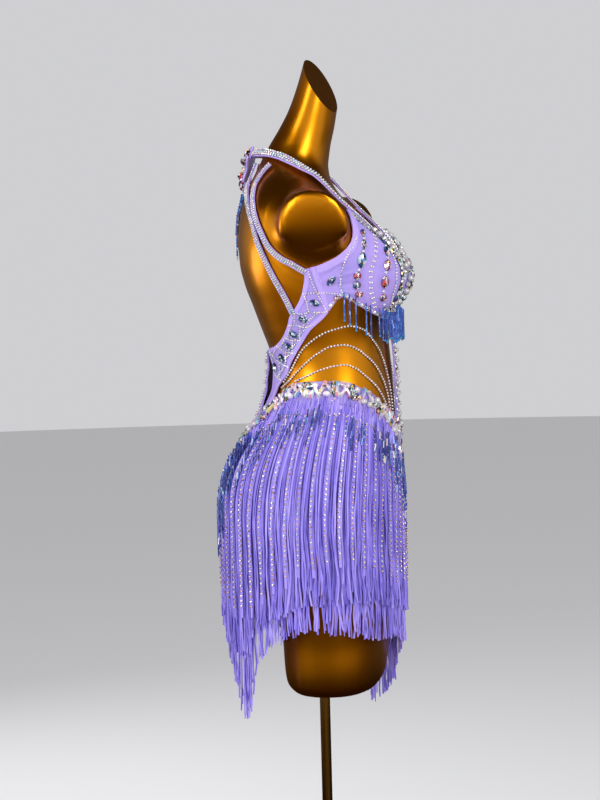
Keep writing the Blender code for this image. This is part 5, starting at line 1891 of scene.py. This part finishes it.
# ------------------------------------------------------------------ hips
def on_belt(angle: Array | float, share: Array | float,
            above: float = 0.0) -> tuple[Array, Array, Array]:
    """Places on the belt, with their outward directions and the upward ones in the cloth.

    Args:
        angle: angles round the figure.
        share: how far down the belt, from 0 at its upper edge to 1 at its lower.
        above: millimetres above the belt's face.
    Returns:
        The points and the two directions.
    """
    angle, share = np.broadcast_arrays(np.atleast_1d(np.asarray(angle, float)),
                                       np.asarray(share, float))
    height = belt_top(angle) - BELT_HEIGHT * share
    rise = unit(SKIN.surface(angle, height + 1) - SKIN.surface(angle, height - 1))
    return SKIN.skin(angle, height, BELT_FACE + above), SKIN.outward(angle, height), rise


def even_angles(count: int, height: float = 850.0, start: float = 0.0) -> Array:
    """Angles that part the figure's outline at one level into even lengths."""
    fine = np.linspace(-180, 180, 1441)
    ring = SKIN.surface(fine, np.full(fine.shape, height))
    length = distances(ring)
    at = (np.arange(count) + start) / count * length[-1]
    return np.interp(at, length, fine)


def round_cloth(name: str, step: float, drops: Array, lift: float, finish: Finish,
                thickness: Array | float) -> Object:
    """Makes cloth that goes all round the hips.

    Args:
        name: the piece's name.
        step: degrees between its points.
        drops: how far below the belt's upper edge each row of points is.
        lift: its inner face above the figure.
        finish: what it is made of.
        thickness: its thickness.
    Returns:
        The new piece.
    """
    angle, drop = np.broadcast_arrays(np.arange(0, 360, step)[None, :], drops[:, None])
    return cloth(name, (angle, belt_top(angle) - drop), lift, finish, thickness, loop=True)


class BeltStone(NamedTuple):
    """One stone of the belt's repeat: how far along and down, and what it is."""

    ahead: float
    share: float
    cut: Cut
    finish: Finish
    size: Size
    turn: float = 0.0


BELT_REPEAT = tuple(BeltStone(*row) for row in (
    (0.03, 0.16, Cut.ROUND, FANCY, (13, 10, 6)),
    (0.02, 0.58, Cut.PEAR, CLEAR_STONE, (10, 14, 5.5)),
    (0.09, 0.52, Cut.BAGUETTE, CLEAR_STONE, (4.6, 15, 4.6), 28),
    (0.12, 0.13, Cut.OVAL, PEARL_LIKE, (8, 6.5, 5)),
    (0.16, 0.50, Cut.BAGUETTE, CLEAR_STONE, (4.8, 17, 4.8), -30),
    (0.20, 0.64, Cut.ROUND, CLEAR_STONE, (6, 6, 4)),
    (0.23, 0.36, Cut.BAGUETTE, CLEAR_STONE, (4.6, 15, 4.6), 26),
    (0.27, 0.12, Cut.NAVETTE, RED_FANCY, (6.5, 12, 4.8), 62),
    (0.31, 0.66, Cut.OVAL, PEARL_LIKE, (9.5, 7, 5)),
    (0.34, 0.26, Cut.BAGUETTE, CLEAR_STONE, (4.6, 17, 4.8), -34),
    (0.41, 0.34, Cut.OVAL, FANCY, (8, 19, 5.6), 3),
    (0.47, 0.33, Cut.BAGUETTE, CLEAR_STONE, (5, 17, 4.8), 8),
    (0.50, 0.70, Cut.ROUND, CLEAR_STONE, (6.5, 6.5, 4)),
    (0.54, 0.12, Cut.NAVETTE, CLEAR_STONE, (6, 12, 4.6), 80),
    (0.58, 0.50, Cut.BAGUETTE, CLEAR_STONE, (4.6, 16, 4.6), 38),
    (0.63, 0.15, Cut.ROUND, CLEAR_STONE, (9.5, 8.5, 5)),
    (0.66, 0.52, Cut.BAGUETTE, CLEAR_STONE, (4.6, 16, 4.6), -28),
    (0.72, 0.40, Cut.NAVETTE, FANCY, (9.5, 19, 5.6), 12),
    (0.77, 0.74, Cut.ROUND, RED_FANCY, (6.5, 6.5, 4)),
    (0.80, 0.18, Cut.PEARL, PEARL, (8, 8, 7.4)),
    (0.85, 0.55, Cut.OVAL, FANCY, (12, 7.5, 5)),
    (0.91, 0.34, Cut.BAGUETTE, CLEAR_STONE, (5, 19, 4.8), 24),
    (0.95, 0.72, Cut.PEARL, PEARL, (7, 7, 6.4)),
))


@dataclass
class YokeAndBelt:
    """The fitted yoke under the skirt's fringe, and the arched belt of large stones over it."""

    thickness: float = 1.1
    repeats: int = 7
    below: float = 90.0
    stone_size: float = 1.34

    def build(self) -> Pieces:
        """Builds the yoke, the belt's base and the belt's stones.

        Returns:
            The finished pieces.
        """
        drops = np.concatenate([np.linspace(BELT_HEIGHT + self.below, BELT_HEIGHT, 13),
                                np.linspace(BELT_HEIGHT, 5, 6)[1:]])
        yoke = round_cloth("hip_yoke_cloth", 2.5, drops, 1.0, LILAC, self.thickness)
        finished(yoke, "lilac_stretch_cloth", "hip_yoke")
        share = np.linspace(1, 0, 9)
        swell = 0.5 * (1 - (2 * share - 1) ** 4)
        base = round_cloth("hip_belt_base", 2.0, BELT_HEIGHT * share, 2.7, LILAC,
                           (1.2 + swell)[:, None])
        finished(base, "lilac_stretch_cloth", "hip_belt")
        return [yoke, base, *self._stones()]

    def _stones(self) -> Pieces:
        """Large clear and coloured stones in a loose zigzag, with pearls and small stones."""
        work = StoneWork("hip_belt_stones", 91)
        step = 360 / self.repeats
        chance = np.random.default_rng(5)
        for i in range(self.repeats):
            way = 1 if i % 2 == 0 else -1
            for ahead, share, cut, finish, size, turn in BELT_REPEAT:
                angle = (i + 0.5 + way * (ahead - 0.5)) * step + chance.uniform(-0.3, 0.3)
                spot = on_belt(angle, 0.05 + 0.77 * share + chance.uniform(-0.03, 0.03), 0.1)
                work.set(cut, finish, spot, tuple(self.stone_size * side for side in size),
                         turn=way * turn + float(chance.uniform(-8, 8)))
            work.set(Cut.CHATON, SMALL_CRYSTAL,
                     on_belt(i * step + chance.uniform(0, step, 12), chance.uniform(0.04, 0.9, 12),
                             -0.2), (3.2, 3.2, 2.4))
        return work.pieces("crystal_stones")


@dataclass
class SkirtFringe:
    """Long satin fringe in two rows, with stone-set ribbons and dark beads over its upper part."""

    strand_width: float = 2.55
    strand_thickness: float = 0.9
    outer_layers: tuple[float, ...] = (6.6, 8.6, 10.6)
    inner_layers: tuple[float, ...] = (4.2, 5.6)
    outer_count: int = 280
    inner_count: int = 250
    ribbons: int = 50
    ribbon_width: float = 4.2
    ribbon_lift: float = 12.0
    bead_strands: int = 330
    outer_start: float = 23.0
    outer_root: float = 5.2
    root: float = 3.9
    back_point: float = 131.0
    back_point_drop: float = 11.0
    uneven_hem: float = 16.0
    ease_height: float = 80.0
    ribbon_ends: tuple[tuple[float, float], ...] = (
        (0, 770), (36, 793), (69, 825), (92, 812), (117, 764), (134, 744), (160, 765), (180, 775))

    def build(self) -> Pieces:
        """Builds both rows of strands, the ribbons, their stones and the beads between them.

        Returns:
            The finished pieces.
        """
        outer = self._row("fringe_outer_strands", self.outer_layers, self.outer_count, 0.0, 201)
        finished(outer, "violet_fringe", "fringe_outer")
        inner = self._row("fringe_inner_strands", self.inner_layers, self.inner_count,
                          INNER_ROW_DROP, 202)
        finished(inner, "violet_fringe", "fringe_inner")
        return [outer, inner, *self._strips(), *self._ribbons(), *self._beads()]

    def path(self, angle: Array, top: Array, low: Array, lift: Array, count: int,
             start: float) -> tuple[Array, Array, Array]:
        """Lines that hang over the hips.

        Args:
            angle: each line's angle.
            top: the height where it starts.
            low: the height where it ends.
            lift: how far above the figure it hangs.
            count: points in a line.
            start: its lift where it starts.
        Returns:
            The lines' points, their level outward directions, and each point's share of the way.
        """
        share = np.linspace(0, 1, count)[None, :]
        height = top[:, None] + (low - top)[:, None] * share
        drop = np.clip((top[:, None] - height) / self.ease_height, 0, 1)
        ease = drop * drop * (3 - 2 * drop)
        above = start + (lift[:, None] - start) * ease
        angles = np.broadcast_to(angle[:, None], height.shape)
        points = SKIN.fall(angles, height, above)
        _, out = SKIN.hanging(angle)
        out = np.broadcast_to(out[:, None, :], points.shape)
        return points, out, np.broadcast_to(share, height.shape)

    def _row(self, name: str, layers: Sequence[float], count: int, drop: float,
             seed: int) -> Object:
        """One row of the fringe, in layers, each strand with its own length and wave.

        Args:
            name: the piece's name.
            layers: how far above the figure each layer hangs.
            count: strands in a layer.
            drop: how far below the belt the row starts.
            seed: the seed of what is uneven.
        Returns:
            The strands' piece.
        """
        chance = np.random.default_rng(seed)
        angles, lifts = [], []
        for i, layer in enumerate(layers):
            here = even_angles(count, start=i / len(layers))
            angles.append(here + chance.normal(0, 0.22, count))
            lifts.append(layer + chance.uniform(-0.7, 0.7, count))
        angle, lift = np.concatenate(angles), np.concatenate(lifts)
        inner_hem, outer_hem = hems(angle)
        point = np.exp(-((angle - self.back_point) / 6) ** 2)
        hem = (inner_hem if drop else outer_hem) - self.back_point_drop * point
        low = (hem + self.uneven_hem * chance.beta(1.3, 2.2, len(angle))
               + np.where(chance.random(len(angle)) < 0.18, chance.uniform(6, 20, len(angle)), 0))
        step = (np.repeat(np.arange(len(layers)) * 3.0, count)
                + chance.uniform(-1.5, 1.5, len(angle)))
        top = belt_top(angle) - (self.outer_start + step[::-1] if drop == 0 else BELT_HEIGHT + drop)
        if drop == 0:
            top = top - np.where(chance.random(len(angle)) < 0.68,
                                 chance.uniform(6, 24, len(angle)), 0)
        start = self.outer_root if drop == 0 else self.root
        points, out, share = self.path(angle, top, low, lift, 20, start)
        side = np.cross(out, (0.0, 0.0, 1.0))
        phase = chance.uniform(0, 2 * np.pi, (len(angle), 1))
        turns = chance.uniform(1.2, 3.4, (len(angle), 1))
        sway = (0.35 + 2.0 * share ** 2.2) * np.sin(2 * np.pi * turns * share + phase)
        curl = 1.3 * share ** 3 * np.sin(2 * np.pi * turns * 1.7 * share + 2 * phase)
        lean = chance.normal(0, 3.0, (len(angle), 1)) * share ** 1.6
        points = points + side * (sway + lean)[..., None] + out * (curl + 0.5 * share)[..., None]
        twist = (chance.normal(0, 0.55, (len(angle), 1))
                 + 0.7 * share * np.sin(2 * np.pi * share * turns + phase))
        down = (top - low)[:, None] * share
        parted = np.clip(1.4 - down / 18, 0, 1) if drop == 0 else 0.0
        twist = twist * (1 - parted) + 1.3 * np.sign(twist[:, :1]) * parted
        facing = out * np.cos(twist)[..., None] + side * np.sin(twist)[..., None]
        tints = chance.random((len(angle), 1)) * 0.8 + 0.32 * np.clip(1 - down / 55, 0, 1) - 0.02
        return strands(name, points, facing, FRINGE, self.strand_width, self.strand_thickness,
                       np.clip(tints, 0, 1))

    def _strips(self) -> Pieces:
        """The two strips that the rows are sewn to."""
        return [finished(round_cloth(name, 2.5, BELT_HEIGHT + drop + np.linspace(8, 0.8, 4), lift,
                                     BINDING, 1.4), "violet_fringe")
                for name, drop, lift in (("fringe_outer_strip", 0.0, 2.7),
                                         ("fringe_inner_strip", INNER_ROW_DROP, 2.5))]

    def _ribbons(self) -> Pieces:
        """Flat ribbons that fan out from the belt, each with a column of small stones."""
        chance = np.random.default_rng(203)
        angle = even_angles(self.ribbons, start=0.5)
        ends = SmoothTable(self.ribbon_ends)(np.abs(angle))[..., 0]
        top = belt_top(angle) - BELT_HEIGHT + 3
        low = ends - 14 + chance.uniform(-6, 6, len(angle))
        lift = np.full(len(angle), self.ribbon_lift) + chance.uniform(-0.3, 0.3, len(angle))
        points, out, share = self.path(angle, top, low, lift, 18, start=4.3)
        side = np.cross(out, (0.0, 0.0, 1.0))
        phase = chance.uniform(0, 2 * np.pi, (len(angle), 1))
        points = points + side * (0.8 * share * np.sin(4 * share + phase))[..., None]
        ribbons = strands("fringe_ribbons", points, out, FRINGE, self.ribbon_width, 0.9,
                          0.35 + 0.4 * chance.random(len(angle)))
        finished(ribbons, "violet_fringe")
        work = StoneWork("fringe_ribbon_stones", 204)
        for line, way in zip(points, out):
            last = distances(line)[-1] - 12
            spots = spaced(line, np.arange(20 + chance.uniform(0, 4), last, 7.6))
            down = unit(np.gradient(spots, axis=0))
            normal = unit(way[0] - down * (down @ way[0])[:, None])
            work.set(Cut.CHATON, ROSE_STONE, (spots + normal * 0.45, normal, down),
                     (3.9, 3.9, 2.4))
        return [ribbons, *work.pieces("crystal_stones")]

    def _beads(self) -> Pieces:
        """Dark blue bead strands among the fringe, longest over the back hips and at the front."""
        chance = np.random.default_rng(205)
        angle = even_angles(self.bead_strands, start=0.0)
        angle = angle + chance.normal(0, 0.5, len(angle))
        turned = np.abs(angle)
        dense = chance.random(len(angle)) < 0.5 + 0.5 * np.exp(-((turned - 162) / 24) ** 2)
        angle, turned = angle[dense], turned[dense]
        reach = 34 + 100 * np.exp(-((turned - 160) / 30) ** 2) + 30 * np.exp(-(turned / 30) ** 2)
        top = belt_top(angle) - BELT_HEIGHT - 3 - 26 * chance.random(len(angle)) ** 0.7
        low = top - reach * chance.uniform(0.35, 1.2, len(angle))
        lift = chance.uniform(13, 14.6, len(angle))
        points, out, _ = self.path(angle, top, low, lift, 10, start=9.5)
        work = StoneWork("fringe_beads", 206)
        for line, way in zip(points, out):
            spots = spaced(line, np.arange(3, distances(line)[-1], 11.2))
            down = (unit(np.gradient(spots, axis=0)) if len(spots) > 1
                    else np.array([[0.0, 0.0, -1.0]]))
            work.set(Cut.BUGLE, NAVY_BUGLE, (spots, np.tile(way[0], (len(spots), 1)), down),
                     (2.2, 10.8, 2.2))
        line = np.arange(-180, 180, 3.4) + chance.uniform(-0.6, 0.6, 106)
        height = belt_top(line) - BELT_HEIGHT - 16.5 + chance.uniform(-1.5, 1.5, 106)
        outward = SKIN.outward(line, height)
        places = (SKIN.skin(line, height, 8.4), outward, np.cross(outward, (0.0, 0.0, 1.0)))
        work.set(Cut.CHATON, ROSE_STONE, places, (2.8, 2.8, 2.1))
        return work.pieces("blue_bugle_beads")


@dataclass
class BustFringe:
    """A short fringe of blue glass bugles under each cup."""

    side: int
    word: str
    near: int = 19
    far: tuple[float, ...] = (0.54, 0.63, 0.68, 0.76, 0.808, 0.848)
    bead: float = 5.6

    def build(self) -> Pieces:
        """Builds the threads and the beads.

        Returns:
            The finished pieces.
        """
        chance = np.random.default_rng(300 + self.side)
        share = np.concatenate([np.linspace(0.03, 0.5, self.near), self.far])
        share = share + chance.uniform(-0.004, 0.004, len(share))
        values = along(CUP_BOTTOM)(share)
        angle, edge = self.side * values[:, 0], values[:, 1]
        out = unit(SKIN.outward(angle, np.full(angle.shape, 1200.0)) * (1, 1, 0))
        front = np.exp(-(angle / 36) ** 2)
        root = SKIN.skin(angle, edge + 8 + 14 * front, 5.4 + 12 * front)
        tip = root.copy()
        tip[:, 2] = edge - 38 + 10 * front + chance.uniform(-5, 4, len(share))
        gap = ((SKIN.skin(angle, tip[:, 2], np.full(angle.shape, 3.4)) - tip) * out).sum(-1)
        tip = tip + out * np.maximum(gap, 0)[:, None]
        steps = np.linspace(0, 1, 5)[None, :, None]
        lines = root[:, None, :] * (1 - steps) + tip[:, None, :] * steps
        thread = strands(f"bust_fringe_thread_{self.word}", lines,
                         np.broadcast_to(out[:, None, :], lines.shape), NAVY_THREAD, 0.8, 0.6,
                         np.full(len(share), 0.5))
        finished(thread, "blue_bugle_beads", f"bust_fringe_{self.word}")
        work = StoneWork(f"bust_fringe_beads_{self.word}", 310 + self.side)
        for start, end, way in zip(root, tip, out):
            length = float(np.linalg.norm(end - start))
            down = (end - start) / length
            at = np.arange(self.bead / 2, length, self.bead + 0.5)
            spots = start + down * at[:, None] - way * 0.5
            tints = np.clip(chance.normal(0.42, 0.2, len(at)), 0, 0.999)
            work.set(Cut.BUGLE, BUGLE, (spots, *(np.tile(v, (len(at), 1)) for v in (way, down))),
                     (2.5, self.bead, 2.4), tints)
            work.set(Cut.PEARL, BUGLE, (end - way * 0.6, way, down), (3.6, 3.6, 3.2), 0.9)
        return [thread, *work.pieces("blue_bugle_beads")]


@dataclass
class SideChains:
    """Three draped chains of small stones over each side opening."""

    stone: float = 3.3
    lift: float = 1.0

    def build(self) -> Pieces:
        """Builds each chain's cord and stones.

        Returns:
            The finished pieces.
        """
        made = []
        for side, word in SIDES:
            work = StoneWork(f"side_chain_stones_{word}", 400 + side)
            for number, marks in enumerate(SIDE_CHAINS, start=1):
                route = Route(mirrored(marks, side), self.lift)
                work.row(route, 5.0, (Cut.ROUND, SMALL_CRYSTAL, (self.stone, self.stone, 2.3)),
                         above=0.4)
                points, out, _ = route.at(np.linspace(0, 1, 60))
                cord = strands(f"side_chain_cord_{word}_{number}", points[None], out[None],
                               SETTING_METAL, 0.6, 0.5, np.array([0.5]))
                made.append(finished(cord, "crystal_stones", f"side_chain_{word}_{number}"))
            made += work.pieces("crystal_stones")
        return made


# ------------------------------------------------------------------ the studio
@dataclass
class Studio:
    """A long lens at the dress's right side, soft boxes, and a pale floor."""

    place: tuple[float, float, float] = (-3.1587, -0.4732, 1.2500)
    forward: tuple[float, float, float] = (0.98579, 0.15613, -0.06190)
    roll: float = 1.5
    lens: float = 92.9
    sensor: float = 36.0

    def build(self) -> None:
        """Builds the camera, the lights, the floor and the plain surroundings."""
        self._camera()
        self._floor()
        self._lights()
        self._surroundings()

    def _camera(self) -> None:
        """Sets the camera, with its small roll."""
        forward = Vector(self.forward).normalized()
        right = forward.cross(Vector((0, 0, 1))).normalized()
        up = right.cross(forward)
        c, s = math.cos(math.radians(self.roll)), math.sin(math.radians(self.roll))
        turned_right, turned_up = right * c - up * s, right * s + up * c
        data = bpy.data.cameras.new("studio_camera")
        data.lens, data.sensor_width = self.lens, self.sensor
        data.clip_start, data.clip_end = 0.1, 60.0
        camera = linked("studio_camera", data)
        matrix = Matrix((turned_right, turned_up, -forward)).transposed().to_4x4()
        matrix.translation = Vector(self.place)
        camera.matrix_world = matrix
        bpy.context.scene.camera = camera

    def _floor(self) -> None:
        """Lays a wide pale floor."""
        edit = bmesh.new()
        bmesh.ops.create_circle(edit, cap_ends=True, radius=14.0, segments=96)
        mesh = bpy.data.meshes.new("studio_floor")
        edit.to_mesh(mesh)
        edit.free()
        mesh.materials.append(FLOOR.material())
        linked("studio_floor", mesh)

    def _lights(self) -> None:
        """Places large soft boxes: one each side of the camera, one above and one behind."""
        for name, place, width, height, power in (
            ("key_box", (-2.3, -1.9, 2.3), 1.3, 2.2, 52),
            ("fill_box", (-2.2, 1.9, 1.7), 1.1, 1.9, 30),
            ("top_box", (-0.4, 0.1, 3.4), 1.4, 1.4, 24),
            ("back_box", (1.9, 1.6, 2.0), 0.8, 1.8, 24),
            ("blade_box", (0.02, 2.5, 0.74), 1.2, 0.42, 5),
        ):
            data = bpy.data.lights.new(name, "AREA")
            data.shape, data.size, data.size_y, data.energy = "RECTANGLE", width, height, power
            light = linked(name, data)
            light.visible_glossy = name in ("key_box", "fill_box", "blade_box")
            light.location = place
            aim = Vector((0, 0, 1.1)) - Vector(place)
            light.rotation_euler = aim.to_track_quat("-Z", "Y").to_euler()

    def _surroundings(self) -> None:
        """Sets an even pale grey round the scene, with a dark room in the gloss of the lacquer."""
        world = bpy.data.worlds.new("studio_surroundings")
        world.use_nodes = True
        tree = world.node_tree
        shader = tree.nodes["Background"]
        place = add_node(tree, "ShaderNodeTexCoord").outputs["Generated"]
        way = add_node(tree, "ShaderNodeSeparateXYZ", {"Vector": place}).outputs
        room = ramp(tree, ranged(tree, way["Z"], (-0.1, 0.9)), (
            (0.0, "#e6e4e2"), (0.26, "#e6e4e2"), (0.42, "#8c745c"), (0.56, "#3e2614"),
            (1.0, "#28160a")))
        room = dimmed(tree, room, ranged(tree, way["X"], (-0.1, 0.8), (1.0, 0.15)))
        glossy = add_node(tree, "ShaderNodeLightPath").outputs["Is Glossy Ray"]
        tree.links.new(either(tree, glossy, linear("#cfcfd2"), room), shader.inputs["Color"])
        shader.inputs["Strength"].default_value = 1.0
        bpy.context.scene.world = world
        bpy.context.scene.view_settings.view_transform = "Standard"


def main() -> None:
    """Builds the scene piece by piece."""
    logging.basicConfig(level=logging.INFO, format="%(name)s: %(message)s")
    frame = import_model()
    log.info("loaded %d solids", len(frame["nodes"]))
    Studio().build()
    DisplayForm().build()
    Stand().build()
    for side, word in SIDES:
        Cup(side, word).build()
        Wing(side, word).build()
        BustFringe(side, word).build()
    YokeAndBelt().build()
    MiddlePanels().build()
    NeckAndStraps().build()
    NeckOrnament().build()
    SideChains().build()
    SkirtFringe().build()


if __name__ == "__main__":
    main()
